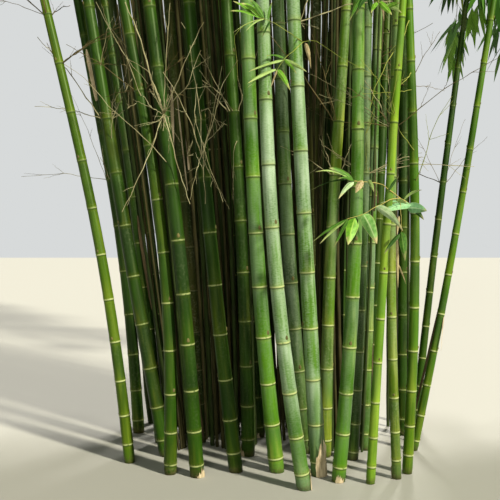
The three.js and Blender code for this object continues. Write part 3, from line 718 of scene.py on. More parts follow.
# A low dome on a culm, at a distance along it and a turn round it, drawn in at both ends.
def dome_on(culm, along, spin, tall, wide, proud, rows):
    upward, sideways = np.meshgrid(np.linspace(-1, 1, rows), np.linspace(-1, 1, rows), indexing="ij")
    inward = np.sqrt(1 - upward**2)
    height = along + upward * tall / 2
    turn = spin + sideways * inward * (1 - BUD_POINTED * upward) * wide / 2 / culm.radius_at(height)
    radius = culm.radius_at(height) - BUD_SUNK + proud * (1 - sideways**2) * inward
    points, straight = points_round(culm, height, turn, radius)
    return points.reshape(-1, 3), sheet_faces(rows, rows), straight.reshape(-1, 3)


# The buds and root nubs of a culm's close part.
def buds_of(culm):
    scale = culm.width / TALL_WIDTH
    tall, wide = BUD_HEIGHT * scale, BUD_WIDTH * scale
    domes = []
    for joint in np.flatnonzero(culm.joints < min(culm.end, CLOSE_HEIGHT)):
        if joint >= NUB_JOINTS:
            astray = between(BUD_ASTRAY, culm.number, joint, 61)
            spin = math.radians(culm.twist + 180 * (joint % 2) + astray)
            along = culm.joints[joint] + BUD_ABOVE_JOINT + tall / 2
            domes.append(dome_on(culm, along, spin, tall, wide, BUD_PROUD, BUD_POINTS))
            continue
        for nub in range(NUBS_ROUND):
            spin = (nub + 0.5 * chance(culm.number, joint, nub, 62)) * 2 * math.pi / NUBS_ROUND
            along = culm.joints[joint] + between(NUB_ABOVE_JOINT, culm.number, joint, nub, 63)
            domes.append(dome_on(culm, along, spin, NUB_WIDTH, NUB_WIDTH, BUD_PROUD, NUB_POINTS))
    return domes


for kind, slot in SLOT_OF_KIND.items():
    domes = [dome for culm in culms if culm.kind == kind for dome in buds_of(culm)]
    make_grown_piece(f"buds_{kind}", domes, BUD_SCALE)


# The sheaths: papery straw-coloured leaves that once wrapped each joint. Torn ones still stand round some
# culms' feet, and dry strips of others have caught between the culms and hang there.
FOOT_SHEATH_SHARE = 0.5
FOOT_SHEATH_HEIGHT = (0.05, 0.15)
FOOT_SHEATH_REACH = (60, 130)
FOOT_SHEATH_AWAY = 0.003
FOOT_SHEATH_LEAN = 0.016
FOOT_SHEATH_SIDES = 0.3
FOOT_SHEATH_ROUND = 0.7
TONGUE_HEIGHT = (0.35, 1)
SHEATH_COLUMNS = 15
SHEATH_ROWS = 6
TALLEST_SHEATH_ON = 11
TALLEST_SHEATH_TURN = -62
TALLEST_SHEATH_REACH = 100
TALLEST_SHEATH_HEIGHT = 0.29
STRIPS = 54
STRIP_LENGTH = (0.2, 0.85)
STRIP_WIDTH = (0.010, 0.034)
STRIP_HEIGHT = (0.5, 3.6)
STRIP_ROWS = 9
STRIP_AWAY = 0.05
STRIP_CUP = 0.3
STRIP_ENDS = (0.35, 0.65)
STRIP_SWING = (-0.35, 0.35)
STRIP_CURL = (-1.2, 1.2)
STRIP_LOWEST = 0.05
STRIP_FRONT = 0.02
OUTWARD_POWER = 1.5
SHEATH_BUMP = 0.001

# The culms that stand far enough back for strips to hang beside them.
inner_culms = [culm for culm in culms if culm.points[0, 1] > STRIP_FRONT]

DRY_SHEATH = dry_material("dry_sheath", (0.62, 0.52, 0.36), (0.32, 0.24, 0.14), 0.5, SHEATH_BUMP)
OLD_SHEATH = dry_material("old_sheath", (0.13, 0.09, 0.05), (0.05, 0.032, 0.018), 0.6, SHEATH_BUMP)


# A sheath that stands round part of a culm's foot. Its top is torn into uneven tongues that lean out.
def foot_sheath(culm, turn, reach, height):
    column, row = np.meshgrid(np.arange(SHEATH_COLUMNS), np.linspace(0, 1, SHEATH_ROWS))
    across_share = column / (SHEATH_COLUMNS - 1)
    spin = np.radians(turn + reach * (across_share - 0.5))
    rim = mix(FOOT_SHEATH_SIDES, 1, (1 - abs(2 * across_share - 1)) ** FOOT_SHEATH_ROUND)
    along = row * height * rim * between(TONGUE_HEIGHT, culm.number, column, 71)
    risen = (along / FOOT_SHEATH_HEIGHT[1]) ** OUTWARD_POWER
    lean = FOOT_SHEATH_LEAN * risen * chance(culm.number, column, 72)
    radius = culm.radius_at(along) + FOOT_SHEATH_AWAY + lean
    points, straight = points_round(culm, along, spin, radius)
    points[0, :, 2] = 0
    points[..., 2] = np.maximum(points[..., 2], 0)
    return points.reshape(-1, 3), sheet_faces(SHEATH_ROWS, SHEATH_COLUMNS), straight.reshape(-1, 3)


# A strip that hangs down beside a culm from where it caught, curling as it goes.
def hanging_strip(number):
    culm = inner_culms[int(len(inner_culms) * chance(number, 73))]
    top = between(STRIP_HEIGHT, number, 74)
    share = np.linspace(0, 1, STRIP_ROWS)[:, None]
    along = top - share * min(between(STRIP_LENGTH, number, 75), top - STRIP_LOWEST)
    across, over, _ = culm.axes_at(along[:, 0])
    swing = 2 * math.pi * chance(number, 77) + between(STRIP_SWING, number, 79) * share
    outward = across * np.cos(swing) + over * np.sin(swing)
    away = culm.radius_at(along) + FOOT_SHEATH_AWAY + STRIP_AWAY * chance(number, 78) * share**OUTWARD_POWER
    middle = culm.point_at(along[:, 0]) + outward * away
    curl = swing + math.pi / 2 + between(STRIP_CURL, number, 80) * share
    aside = across * np.cos(curl) + over * np.sin(curl)
    outline = np.minimum(1, mix(*STRIP_ENDS, share) + 4 * share * (1 - share))
    half = between(STRIP_WIDTH, number, 76) / 2 * outline
    points = np.stack([middle - aside * half, middle + outward * half * STRIP_CUP, middle + aside * half], 1)
    straight = np.zeros((STRIP_ROWS, 3, 3))
    straight[..., 0] = APART * number + half * [-1, 0, 1]
    straight[..., 2] = along
    return points.reshape(-1, 3), sheet_faces(STRIP_ROWS, 3), straight.reshape(-1, 3)


foot_sheaths = []
for culm in culms:
    if chance(culm.number, 82) < FOOT_SHEATH_SHARE:
        reach = between(FOOT_SHEATH_REACH, culm.number, 84)
        height = between(FOOT_SHEATH_HEIGHT, culm.number, 85)
        foot_sheaths.append(foot_sheath(culm, 360 * chance(culm.number, 83), reach, height))
tallest_on = culms[TALLEST_SHEATH_ON - 1]
foot_sheaths.append(foot_sheath(tallest_on, TALLEST_SHEATH_TURN, TALLEST_SHEATH_REACH, TALLEST_SHEATH_HEIGHT))
make_grown_piece("foot_sheaths", foot_sheaths, DRY_SHEATH)
strips = [hanging_strip(number) for number in range(STRIPS)]
make_grown_piece("pale_strips", strips[::3], DRY_SHEATH)
make_grown_piece("dark_strips", strips[1::3] + strips[2::3], OLD_SHEATH)


# The leafy tops: thin woody boughs in bunches at every joint of a culm's upper part, with twigs and fans of
# long hanging leaves. Each top keeps to the space round its own culm, and its boughs bend down under it.
CLEAR_ABOVE = 0.08
BOUGH_LENGTH = 2.15
BOUGH_SPREAD = (0.8, 1.2)
SHORTER_HIGH = 0.74
SHORTER_POWER = 1.4
BOUGH_RISE = (38, 60)
BOUGH_WIDTH = 0.022
BOUGH_TAPER = 0.7
BOUGH_SAG = 0.42
BOUGH_TURN = 205
BOUGH_SPANS = 2
BOUGHS_ROUND = 6
BLADE_LENGTH = 1.24
BLADE_WIDTH = 0.36
BLADE_WIDEST = 0.36
BLADE_SPREAD = (0.85, 1.15)
BLADE_SMALLER_HIGH = 0.38
BLADE_SIDEWAYS = 0.75
BLADE_DROOP = (0.3, 0.7)
SPACE_MARGIN = 0.04
SHRINK_STEPS = (1, 0.75, 0.55, 0.4, 0.28)
SHORTEST_BOUGH = 0.24
BOUGH_CHECKS = (0.35, 0.7, 1)
NEAR_BOUGH_TIP = 0.9
MARK_EVERY = 4
POINTS_AT_ONCE = 4000
SOURCE_TWIGS = 4
NEARLY_ALONG = 0.6
UP = np.array([0.0, 0.0, 1.0])

# How long the longest bough at a joint and the two beside it are, by their order, and where along each
# its twigs leave it and to which side.
BOUGH_ORDER = (1.0, 0.7, 0.5)
TWIGS_OF_FIRST = ((1.0, 0), (0.8, 1), (0.6, -1), (0.4, 1), (0.9, -1))
TWIGS_OF_OTHERS = ((1.0, 0), (0.75, 1), (0.5, -1))

# Marks along every culm, each group for one, that tell whose space a point is in.
marked = [culm.points[: math.ceil(culm.length / STEP) + 1 : MARK_EVERY] for culm in culms]
mark_points = np.vstack(marked)
mark_starts = np.cumsum([0] + [len(points) for points in marked[:-1]])


# How much nearer points are to their own culm than to any other. Below 0 they are in another's space.
def room_at(own, points):
    flat = points.reshape(-1, 3)
    room = np.empty(len(flat))
    for start in range(0, len(flat), POINTS_AT_ONCE):
        part = flat[start : start + POINTS_AT_ONCE]
        squares = (part**2).sum(1)[:, None] + (mark_points**2).sum(1) - 2 * part @ mark_points.T
        away = np.sqrt(np.maximum(np.minimum.reduceat(squares, mark_starts, axis=1), 0))
        own_away = away[:, own].copy()
        away[:, own] = np.inf
        room[start : start + POINTS_AT_ONCE] = away.min(1) - own_away
    return room.reshape(points.shape[:-1])


# A point on a branch that sags, at shares of its length.
def sagged_point(root, way, length, share, sag=BOUGH_SAG):
    far = (length * share)[..., None]
    return root + way * far - UP * (sag * far * np.asarray(share)[..., None])


# The same on the straight spans between a bough's sagging points.
def bough_point(root, way, length, share):
    share = np.broadcast_to(np.asarray(share, float), length.shape)
    span = np.minimum(np.floor(share * BOUGH_SPANS), BOUGH_SPANS - 1)
    near = sagged_point(root, way, length, span / BOUGH_SPANS)
    far = sagged_point(root, way, length, (span + 1) / BOUGH_SPANS)
    return mix(near, far, (share * BOUGH_SPANS - span)[..., None])


# The boughs of one culm that fit in its space: for each joint, the longest few of the six that could grow
# round it. Every array has a row for each joint and a column for each bough.
def boughs_of(culm):
    joint = np.flatnonzero(culm.joints > culm.end + CLEAR_ABOVE)[:, None]
    place = np.arange(BOUGHS_ROUND)[None, :]
    along = np.broadcast_to(culm.joints[joint], (len(joint), BOUGHS_ROUND))
    high = (along - culm.end) / (culm.full_length - culm.end)
    spin = np.radians(culm.twist + joint * BOUGH_TURN + place * 360 / BOUGHS_ROUND)
    rise = np.radians(between(BOUGH_RISE, culm.number, joint, place, 8))
    across, over, ahead = culm.axes_at(along)
    way = (
        across * (np.cos(spin) * np.sin(rise))[..., None]
        + over * (np.sin(spin) * np.sin(rise))[..., None]
        + ahead * np.cos(rise)[..., None]
    )
    grown = (1 - SHORTER_HIGH * high**SHORTER_POWER) * between(BOUGH_SPREAD, culm.number, joint, place, 9)
    length = BOUGH_LENGTH * culm.full_length / TALL_LENGTH * grown
    root = culm.point_at(along)
    fitted = np.zeros_like(length)
    for shrink in SHRINK_STEPS:
        tried = length * shrink
        points = np.stack([bough_point(root, way, tried, share) for share in BOUGH_CHECKS])
        inside = (room_at(culm.number - 1, points) > SPACE_MARGIN).all(0) & (tried > SHORTEST_BOUGH)
        fitted = np.where((fitted == 0) & inside, tried, fitted)
    order = np.argsort(-fitted, axis=1, kind="stable")[:, : len(BOUGH_ORDER)]
    rows = np.arange(len(order))[:, None]
    return {
        "culm": culm,
        "joint": np.broadcast_to(joint, order.shape),
        "place": order,
        "root": root[rows, order],
        "way": way[rows, order],
        "high": high[rows, order],
        "length": fitted[rows, order] * np.array(BOUGH_ORDER),
    }


# The twigs of one column of boughs: their roots, ways and lengths, whole numbers for their chances, and
# whether each one ends its bough. The first few twigs of each joint's longest bough are those that the
# plant's solids have as blades, and as long.
def twigs_of(boughs, column, layout):
    culm = boughs["culm"]
    keep = boughs["length"][:, column] > 0
    root, way = boughs["root"][keep, column], boughs["way"][keep, column]
    length, high = boughs["length"][keep, column], boughs["high"][keep, column]
    joint, place = boughs["joint"][keep, column], boughs["place"][keep, column]
    ahead = unit(bough_point(root, way, length, 1.0) - bough_point(root, way, length, NEAR_BOUGH_TIP))
    aside = unit(np.cross(ahead, UP))
    scale = (1 - BLADE_SMALLER_HIGH * high) * between(BLADE_SPREAD, culm.number, joint, 10)
    scale = scale * BOUGH_ORDER[column] ** 0.5
    twigs = []
    for number, (share, side) in enumerate(layout):
        droop = between(BLADE_DROOP, culm.number, joint, side + 3, 11)
        if column or number >= SOURCE_TWIGS:
            droop = between(BLADE_DROOP, culm.number, joint, side + 3, 11, place, number)
        towards = unit(ahead + aside * side * BLADE_SIDEWAYS - UP * droop[:, None])
        start = bough_point(root, way, length, share)
        fitted = np.zeros_like(length)
        for shrink in SHRINK_STEPS:
            reach = BLADE_LENGTH * scale * shrink
            half = BLADE_WIDTH * scale * math.sqrt(shrink) / 2
            across = unit(np.cross(towards, UP)) * half[:, None]
            middle = start + towards * (reach * BLADE_WIDEST)[:, None]
            edges = np.stack([start + towards * reach[:, None], middle + across, middle - across])
            inside = (room_at(culm.number - 1, edges) > SPACE_MARGIN).all(0)
            fitted = np.where((fitted == 0) & inside, reach, fitted)
        kept = fitted > 0
        keys = np.stack([joint, place, np.full_like(joint, number)], -1)
        twigs.append((start[kept], towards[kept], fitted[kept], keys[kept], np.full(kept.sum(), side == 0)))
    return [np.concatenate(values) for values in zip(*twigs)]


# Tubes along many paths at once, each path a row of stations that has a radius at each of them. A tube's
# rings are turned by the X axis, or by the Y axis where the tube runs nearly along X.
def tubes_along(paths, radii, sides):
    ahead = unit(np.gradient(paths, axis=1))
    whole = unit(paths[:, -1] - paths[:, 0])
    beside = np.where(abs(whole[:, :1]) < NEARLY_ALONG, [1.0, 0.0, 0.0], [0.0, 1.0, 0.0])
    across = unit(np.cross(ahead, beside[:, None]))
    over = np.cross(ahead, across)
    turn = np.arange(sides) * 2 * np.pi / sides
    ring = np.cos(turn)[:, None] * across[:, :, None] + np.sin(turn)[:, None] * over[:, :, None]
    points = paths[:, :, None] + radii[:, :, None, None] * ring
    along = np.cumsum(np.linalg.norm(np.diff(paths, axis=1, prepend=paths[:, :1]), axis=-1), axis=1)
    straight = np.empty_like(points)
    straight[..., 0] = radii[..., None] * np.cos(turn) + APART * np.arange(len(paths))[:, None, None]
    straight[..., 1] = radii[..., None] * np.sin(turn)
    straight[..., 2] = along[..., None]
    one = np.array(tube_faces(paths.shape[1], sides))
    starts = np.arange(len(paths)) * paths.shape[1] * sides
    return points.reshape(-1, 3), (one + starts[:, None, None]).reshape(-1, 4), straight.reshape(-1, 3)


# Tubes for branches that sag, at stations that are shares of their length.
def branch_tubes(root, way, length, width, taper, sag, stations):
    shares = np.array(stations, float)
    marks = [sagged_point(root, way, length, np.full(len(length), share), sag) for share in shares]
    radii = np.broadcast_to(width, len(length))[:, None] / 2 * (1 - taper * shares)
    return tubes_along(np.stack(marks, 1), radii, BRANCH_SIDES)


THINNER_HIGH = 0.5
TWIG_WIDTH = 0.008
TWIG_TAPER = 0.6
TWIG_SAG = 0.12
STALK_WIDTH = 0.004
BRANCH_SIDES = 3
BOUGH_STATIONS = (0, 0.2, 0.4, 0.6, 0.8, 1)
TWIG_STATIONS = (0, 0.5, 1)
STALK_ENDS = (0, 1)

# The leaves hang from short stalks at the ends of the finest twigs, in fans of five. They are long lance
# shapes that bend down a little, and each fan is one of a few greens, or straw.
SPRAYS_OF_TIP_TWIG = (0.3, 0.5, 0.68, 0.85, 1.0)
SPRAYS_OF_TWIG = (0.45, 0.75, 1.0)
SPRAY_LENGTH = (0.09, 0.17)
SPRAY_FAN = (25, 55)
SPRAY_DROOP = (0.15, 0.6)
SPRAY_REACH = 0.3
SHORTEST_REACH = 0.3
FIRST_TWIG_SLOT = 10
LEAVES_OF_SPRAY = ((1.0, 0), (0.85, 1), (0.7, -1), (0.5, 1), (0.35, -1))
LEAF_LENGTH = (0.21, 0.32)
LEAF_WIDTH = 0.15
LEAF_FAN = (22, 50)
LEAF_DROOP = (0.2, 0.9)
LEAF_BEND = (0.05, 0.3)
LEAF_ROLL = (-40, 40)
LEAF_STATIONS = ((0.3, 0.5), (0.66, 0.4))
LEAF_FACES = ((0, 1, 2), (1, 3, 4), (1, 4, 2), (3, 5, 4))


# Vectors turned about the vertical.
def turned(vectors, degrees):
    angle = np.radians(degrees)
    c, s = np.cos(angle), np.sin(angle)
    x, y, z = vectors[..., 0], vectors[..., 1], vectors[..., 2]
    return np.stack([x * c - y * s, x * s + y * c, z], -1)


# Every spray of one culm's twigs: its root, way and length, and whole numbers for its chances.
def sprays_of(number, root, way, length, keys, ends_bough):
    reach = np.maximum(length - SPRAY_REACH, SHORTEST_REACH * length)
    places = [(slot, share, ends_bough) for slot, share in enumerate(SPRAYS_OF_TIP_TWIG)]
    places += [(slot, share, ~ends_bough) for slot, share in enumerate(SPRAYS_OF_TWIG, FIRST_TWIG_SLOT)]
    sprays = []
    for slot, share, keep in places:
        base, towards, far, key = root[keep], way[keep], reach[keep], keys[keep]
        point = sagged_point(base, towards, far, np.full(len(far), share), TWIG_SAG)
        side = 1 if slot % 2 else -1
        fan = 0 if share == 1.0 else side * between(SPRAY_FAN, number, *key.T, slot, 21)
        droop = between(SPRAY_DROOP, number, *key.T, slot, 22)
        spray_way = unit(turned(towards, fan) - UP * droop[:, None])
        spray_length = between(SPRAY_LENGTH, number, *key.T, slot, 23)
        sprays.append((point, spray_way, spray_length, np.column_stack([key, np.full(len(key), slot)])))
    return [np.concatenate(values) for values in zip(*sprays)]


# The points and faces of every leaf of many sprays.
def leaves_of(number, root, way, length, keys):
    points = []
    for slot, (share, side) in enumerate(LEAVES_OF_SPRAY):
        base = root + way * (length * share)[:, None]
        fan = side * between(LEAF_FAN, number, *keys.T, slot, 31)
        droop = between(LEAF_DROOP, number, *keys.T, slot, 32)
        towards = unit(turned(way, fan) - UP * droop[:, None])
        long = between(LEAF_LENGTH, number, *keys.T, slot, 33)[:, None]
        bend = between(LEAF_BEND, number, *keys.T, slot, 34)[:, None]
        roll = np.radians(between(LEAF_ROLL, number, *keys.T, slot, 35))[:, None]
        flat = unit(np.cross(towards, UP))
        across = flat * np.cos(roll) + np.cross(towards, flat) * np.sin(roll)
        leaf = [base]
        for along, half in LEAF_STATIONS:
            middle = base + towards * (long * along) - UP * (long * bend * along**2)
            aside = across * (long * LEAF_WIDTH * half)
            leaf += [middle - aside, middle + aside]
        leaf.append(base + towards * long - UP * (long * bend))
        points.append(np.stack(leaf, 1))
    points = np.stack(points, 1)
    starts = np.arange(points.shape[0] * points.shape[1])[:, None, None] * points.shape[2]
    return points.reshape(-1, 3), (starts + np.array(LEAF_FACES)).reshape(-1, 3)


# A material of one plain colour, with its roughness and its shine.
def plain_material(name, color, rough, shine):
    material = bpy.data.materials.new(name)
    material.use_nodes = True
    shader = material.node_tree.nodes["Principled BSDF"]
    shader.inputs["Base Color"].default_value = (*color, 1)
    shader.inputs["Roughness"].default_value = rough
    shader.inputs["Specular IOR Level"].default_value = shine
    return material


# The colours of the leaves, and how far each goes in a draw from 0 to 1. The last takes what is left.
LEAF_GREENS = [
    plain_material("leaf_deep_green", (0.022, 0.075, 0.006), 0.42, 0.35),
    plain_material("leaf_mid_green", (0.045, 0.13, 0.010), 0.42, 0.35),
    plain_material("leaf_fresh_green", (0.10, 0.22, 0.014), 0.45, 0.35),
    plain_material("leaf_yellow_green", (0.2, 0.28, 0.03), 0.5, 0.3),
    plain_material("leaf_straw", (0.34, 0.26, 0.1), 0.6, 0.2),
]
GREEN_SHARES = np.cumsum([0.36, 0.36, 0.2, 0.055])
TWIG_GREEN = plain_material("twig_olive", (0.085, 0.105, 0.025), 0.55, 0.3)

QUARTERS = ("front", "right", "back", "left")


# The leafy tops go by the quarter of the clump that they arch to, so that each piece stays a handy size.
def quarter_of(culm):
    turn = math.degrees(math.atan2(culm.nod[1], culm.nod[0]))
    return QUARTERS[int(((turn + 135) % 360) // 90)]


# The leafy tops of one quarter: all their boughs, twigs and stalks as one piece, and all their leaves.
def make_leafy_tops(quarter):
    branches, leaves, greens = [], [], []
    tops = [culm for culm in culms if culm.kind == LEAFY and quarter_of(culm) == quarter]
    for culm in tops:
        boughs = boughs_of(culm)
        columns = range(len(BOUGH_ORDER))
        grown = [twigs_of(boughs, i, TWIGS_OF_OTHERS if i else TWIGS_OF_FIRST) for i in columns]
        twigs = [np.concatenate(values) for values in zip(*grown)]
        sprays = sprays_of(culm.number, *twigs)
        kept = boughs["length"] > 0
        bough = [boughs[part][kept] for part in ("root", "way", "length")]
        thinner = (1 - THINNER_HIGH * boughs["high"]) * BOUGH_ORDER
        branches += [
            branch_tubes(*bough, BOUGH_WIDTH * thinner[kept], BOUGH_TAPER, BOUGH_SAG, BOUGH_STATIONS),
            branch_tubes(*twigs[:3], TWIG_WIDTH, TWIG_TAPER, TWIG_SAG, TWIG_STATIONS),
            branch_tubes(*sprays[:3], STALK_WIDTH, TWIG_TAPER, 0, STALK_ENDS),
        ]
        leaves.append(leaves_of(culm.number, *sprays))
        dealt = np.searchsorted(GREEN_SHARES, chance(culm.number, *sprays[3].T, 41))
        greens.append(np.repeat(dealt, len(LEAVES_OF_SPRAY) * len(LEAF_FACES)))
    make_grown_piece(f"twigs_{quarter}", branches, TWIG_GREEN)
    points, faces = joined(leaves)
    crown = make_piece(f"leaves_{quarter}", points, faces.tolist(), LEAF_GREENS)
    crown.data.polygons.foreach_set("material_index", np.concatenate(greens).astype(np.int32))
    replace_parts(crown, *(f"leafy_top_{culm.number:02d}" for culm in tops))


for quarter in QUARTERS:
    make_leafy_tops(quarter)


# The low leafy sprays: two thin green twigs that grew from joints low on the culms, with long pointed
# leaves hung from their ends. Some leaves have dried, and each is folded along its pale midrib.
PICTURE_HALF = 250
LOW_REACH = 5.5
LOW_POINTS = round(LOW_REACH / STEP)
STALK_STATIONS = 13
STALK_SIDES = 6
NODE_EVERY = 3
NODE_SWELL = 0.3
STALK_TAPER = 0.55
STALK_KINK = 0.002
LOW_LEAF_ROWS = 11
LOW_LEAF_COLUMNS = 7
LOW_LEAF_FOLD = 0.28
LOW_LEAF_TWIST = (-15, 15)
LOW_LEAF_ARCH = (0.028, 0.126)
LOW_LEAF_WAVE = 0.12
LOW_LEAF_WAVE_TURN = 9
LOW_LEAF_WAVE_START = (0, 6)
LOW_LEAF_ROUND = 0.45
LOW_LEAF_POINTED = 0.9
PETIOLE_HALF = 0.0012
TIP_HALF = 0.0003
LEAF_BUMP = 0.0004
LEAF_SHINE = 0.35


# How long one unit of the view's picture is so far back. The picture counts as 500 by 500 of them.
def picture_scale(back):
    return (VIEW_BACK + back) * VIEW_SENSOR / VIEW_LENS / (2 * PICTURE_HALF)


# The point so far back that the picture shows at a place.
def seen_at(across, down, back):
    aside = VIEW_ASIDE + (across - PICTURE_HALF) * picture_scale(back)
    return np.array([aside, back, VIEW_HEIGHT - (down - PICTURE_HALF) * picture_scale(back)])


# A point on a culm's skin, on the side that a heading names in degrees from +X towards +Y.
def skin_at(number, height, heading):
    culm = culms[number - 1]
    along = np.interp(height, culm.points[:LOW_POINTS, 2], STEP * np.arange(LOW_POINTS))
    way = np.array([math.cos(math.radians(heading)), math.sin(math.radians(heading)), 0])
    return culm.point_at(along) + way * culm.radius_at(along)


# Each stalk, twig and low leaf takes the next whole number for its chances, which starts past the culms'.
numbers = itertools.count(100)


# A path through given points, with a slight kink at each of its nodes.
def kinked_path(marks, kink):
    marks = np.array(marks)
    far = np.append(0, np.cumsum(np.linalg.norm(np.diff(marks, axis=0), axis=1)))
    along = np.linspace(0, far[-1], STALK_STATIONS)
    path = np.stack([np.interp(along, far, marks[:, i]) for i in range(3)], -1)
    inner = np.arange(1, STALK_STATIONS - 1)[:, None]
    path[1:-1] += between((-kink, kink), next(numbers), inner, np.arange(3), 91)
    return path


# Stalks or twigs as one piece. Each has its path and its width at the root.
def make_stalks(name, stalks, skin):
    widths = np.array([[width] for _, width in stalks])
    station = np.arange(STALK_STATIONS)
    shape = (1 - STALK_TAPER * station / station[-1]) * (1 + NODE_SWELL * (station % NODE_EVERY == 0))
    tubes = tubes_along(np.stack([path for path, _ in stalks]), widths / 2 * shape, STALK_SIDES)
    return make_grown_piece(name, [tubes], skin)


# One leaf, from its base to its tip. It is so wide, and turned so many degrees away from where its whole
# face would show from the front. Its points have places across and along it.
def low_leaf(base, tip, wide, turned_away):
    number = next(numbers)
    share = np.linspace(0, 1, LOW_LEAF_ROWS)[:, None]
    arch = between(LOW_LEAF_ARCH, number, 92) * np.linalg.norm(tip - base)
    middle = mix(base, tip, share) + UP * (4 * arch * share * (1 - share))
    ahead = unit(np.gradient(middle, axis=0))
    flat = unit(np.cross(ahead, [0.0, 1.0, 0.0]))
    angle = np.radians(turned_away + between(LOW_LEAF_TWIST, number, 93) * share)
    across = flat * np.cos(angle) + np.cross(ahead, flat) * np.sin(angle)
    facing = np.cross(across, ahead)
    outline = share**LOW_LEAF_ROUND * (1 - share) ** LOW_LEAF_POINTED
    half = wide / 2 * outline / outline.max()
    half = np.maximum(half, mix(PETIOLE_HALF, TIP_HALF, share))[:, None]
    side = np.linspace(-1, 1, LOW_LEAF_COLUMNS)[None, :, None]
    turn = share * LOW_LEAF_WAVE_TURN + between(LOW_LEAF_WAVE_START, number, 94)
    lift = LOW_LEAF_FOLD * abs(side) + LOW_LEAF_WAVE * np.sin(turn)[:, None] * side
    points = middle[:, None] + half * (across[:, None] * side + facing[:, None] * lift)
    place = np.zeros_like(points)
    place[..., 0] = side[..., 0]
    place[..., 1] = share
    place[..., 2] = number
    return points.reshape(-1, 3), sheet_faces(LOW_LEAF_ROWS, LOW_LEAF_COLUMNS), place.reshape(-1, 3)


# A spray's leaves as one piece, from rows that each hold a leaf's ends, width, turn and skin.
def make_low_leaves(name, rows):
    leaves = [low_leaf(seen_at(*base), seen_at(*tip), wide, away) for base, tip, wide, away, _ in rows]
    points, faces, places = joined(leaves)
    piece = make_piece(name, points, faces.tolist(), list(BLADE_SKINS.values()))
    add_attribute(piece, "blade", "FLOAT_VECTOR", places)
    skins = [list(BLADE_SKINS).index(skin) for *_, skin in rows]
    dealt = np.repeat(skins, len(faces) // len(rows))
    piece.data.polygons.foreach_set("material_index", dealt.astype(np.int32))
    return piece


# A leaf's surface: parallel veins and a pale midrib, paler or dried edges and tip, and cloudy patches.
def build_leaf_blade():
    tree, given = start_group(
        "leaf_blade",
        [
            ("Green", COLOR, (0.07, 0.2, 0.015, 1)),
            ("Shade", COLOR, (0.03, 0.1, 0.008, 1)),
            ("Vein", COLOR, (0.3, 0.38, 0.12, 1)),
            ("Dried", COLOR, (0.5, 0.4, 0.2, 1)),
            ("Drying", VALUE, 0.3),
        ],
        SURFACE,
    )
    place = read_attribute(tree, "blade", "Vector")
    parts = add_node(tree, "ShaderNodeSeparateXYZ", Vector=place).outputs
    across = add_node(tree, "ShaderNodeMath", {"operation": "ABSOLUTE"}, n0=parts["X"]).outputs[0]
    veins = grown_noise(tree, stretched(tree, place, (20, 1.5, 8)), 1, 1)
    clouds = grown_noise(tree, stretched(tree, place, (1.4, 7, 5)), 1, 1, 3)
    color = blend_colors(tree, soft_step(tree, clouds, 0.35, 0.65), given["Green"], given["Shade"])
    color = blend_colors(tree, times(tree, soft_step(tree, veins, 0.5, 0.7), 0.25), color, given["Vein"])
    rib = times(tree, soft_step(tree, across, 0.16, 0.04), 0.75)
    color = blend_colors(tree, rib, color, given["Vein"])
    edge = add_share(tree, clouds, 0.3, across)
    tip = add_share(tree, clouds, 0.5, parts["Y"])
    dried = add_share(tree, soft_step(tree, edge, 1.0, 1.18), 0.6, soft_step(tree, tip, 0.98, 1.18))
    color = blend_colors(tree, times(tree, dried, given["Drying"]), color, given["Dried"])
    rough = add_share(tree, clouds, 0.25, 0.32)
    relief = add_share(tree, rib, 0.6, veins)
    end_group(tree, Color=color, Roughness=rough, Height=relief)
    return tree


LEAF_BLADE = build_leaf_blade()


# A leaf's skin, from its green and the darker one of its clouds, its veins, and how far it has dried.
def blade_skin(name, green, shade, vein, drying):
    values = {"Green": green, "Shade": shade, "Vein": vein, "Drying": drying}
    return grouped_material(name, LEAF_BLADE, LEAF_BUMP, LEAF_SHINE, **values)


BLADE_SKINS = {
    "fresh": blade_skin("fresh_leaf", (0.14, 0.34, 0.02), (0.07, 0.21, 0.012), (0.34, 0.5, 0.10), 0.6),
    "edged": blade_skin("edged_leaf", (0.19, 0.37, 0.10), (0.08, 0.22, 0.04), (0.42, 0.54, 0.26), 0.9),
    "mid": blade_skin("green_leaf", (0.055, 0.16, 0.014), (0.025, 0.09, 0.008), (0.16, 0.28, 0.06), 0.4),
    "deep": blade_skin("dark_leaf", (0.022, 0.08, 0.010), (0.010, 0.04, 0.006), (0.08, 0.16, 0.04), 0.3),
    "grey": blade_skin("greyed_leaf", (0.36, 0.48, 0.27), (0.22, 0.34, 0.15), (0.52, 0.60, 0.38), 0.7),
    "blue": blade_skin("bluish_leaf", (0.20, 0.40, 0.20), (0.12, 0.28, 0.12), (0.38, 0.54, 0.32), 0.4),
    "pale": blade_skin("pale_leaf", (0.30, 0.42, 0.13), (0.18, 0.30, 0.07), (0.48, 0.55, 0.24), 0.5),
    "dry": blade_skin("dried_leaf", (0.52, 0.42, 0.24), (0.30, 0.22, 0.11), (0.60, 0.50, 0.30), 0.6),
}
STALK_GREEN = dry_material("stalk_green", (0.30, 0.32, 0.07), (0.14, 0.17, 0.03), 0.1)
STALK_STRAW = dry_material("stalk_straw", (0.44, 0.38, 0.12), (0.26, 0.21, 0.06), 0.2)

